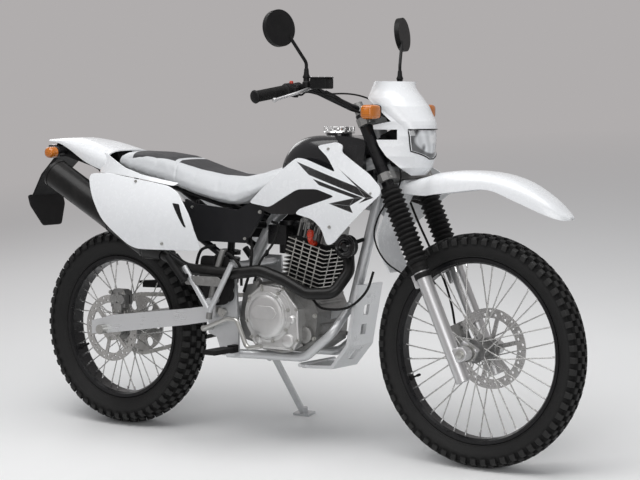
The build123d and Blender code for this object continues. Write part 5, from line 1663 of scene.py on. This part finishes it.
def fork_feet():
    """Lower ends of the fork legs."""
    feet = Shape()
    lean = Matrix.Rotation(-RAKE, 3, "Y")
    for side in SIDES:
        feet.block(on_fork(2, 14, side * LEG_Y), (46, 36, 42), lean, 7)
        feet.block(on_fork(-30, 2, side * LEG_Y), (30, 30, 70), lean, 9)
        feet.turned((FRONT_AXLE[0], side * 78, FRONT_AXLE[1]), (0, side, 0), [(0, 21), (32, 21), (34, 18)],
                    32)
        feet.block(on_fork(250, -26, side * LEG_Y), (22, 14, 40), lean, 4)
    feet.block((FRONT_AXLE[0] - 4, -58, FRONT_AXLE[1] + 6), (58, 22, 40), Matrix.Rotation(0.5, 3, "Y"), 6)
    feet.piece("fork_feet", "steering", "fork", bevel=0.6)


def fork_seals():
    """Seals on top of the sliders."""
    bands = Shape()
    way = on_fork(1) - on_fork(0)
    bands.turned(on_fork(250, 0, -LEG_Y), way, [(0, 21.5), (0, 24.6), (2, 25.2), (14, 25.2), (16, 24.6),
                                                (16, 21.5)], 36)
    for side in SIDES:
        bands.turned(on_fork(270, 0, side * LEG_Y), way,
                     [(0, 21), (0, 25.6), (3, 26.2), (14, 26.2), (15, 23)], 36)
    bands.piece("fork_seals", "steering", "rubber", crease=40)


class MakeBodyDetails(bpy.types.Operator):
    """Tank cap, muffler bands, rear caliper, plate flap, screws, nuts and fork details"""
    bl_idname = "moto.make_body_details"
    bl_label = "Body details"

    def execute(self, context):
        tank_cap()
        muffler_trim()
        rear_caliper()
        plate_flap()
        panel_screws()
        wheel_nuts()
        fork_feet()
        fork_seals()
        return {"FINISHED"}


PIECES = (MakeStage, PaintFrame, MakeTyres, MakeWheelDetails, MakeChain, MakeGaiters, MakeSeat, MakePanels,
          MakeControls, MakeLamps, MakeEngineDetails, MakeBodyDetails)


class MotoPanel(bpy.types.Panel):
    """Buttons for every piece"""
    bl_idname = "VIEW3D_PT_motorcycle"
    bl_label = "Motorcycle"
    bl_space_type = "VIEW_3D"
    bl_region_type = "UI"
    bl_category = "Motorcycle"

    def draw(self, context):
        for group in (context.scene.moto_paint, context.scene.moto_tyres, context.scene.moto_seat,
                      context.scene.moto_stage):
            box = self.layout.box()
            for name in group.bl_rna.properties.keys():
                if name not in ("rna_type", "name"):
                    box.prop(group, name)
        for piece in PIECES:
            self.layout.operator(piece.bl_idname)


GROUPS = (("moto_paint", MotoPaint), ("moto_tyres", MotoTyres), ("moto_seat", MotoSeat),
          ("moto_stage", MotoStage))


def register():
    for name, group in GROUPS:
        bpy.utils.register_class(group)
        setattr(bpy.types.Scene, name, PointerProperty(type=group))
    for piece in PIECES + (MotoPanel,):
        bpy.utils.register_class(piece)


def unregister():
    for piece in reversed(PIECES + (MotoPanel,)):
        bpy.utils.unregister_class(piece)
    for name, group in reversed(GROUPS):
        delattr(bpy.types.Scene, name)
        bpy.utils.unregister_class(group)


def main():
    register()
    for piece in PIECES:
        group, name = piece.bl_idname.split(".")
        getattr(getattr(bpy.ops, group), name)()


if __name__ == "__main__":
    main()
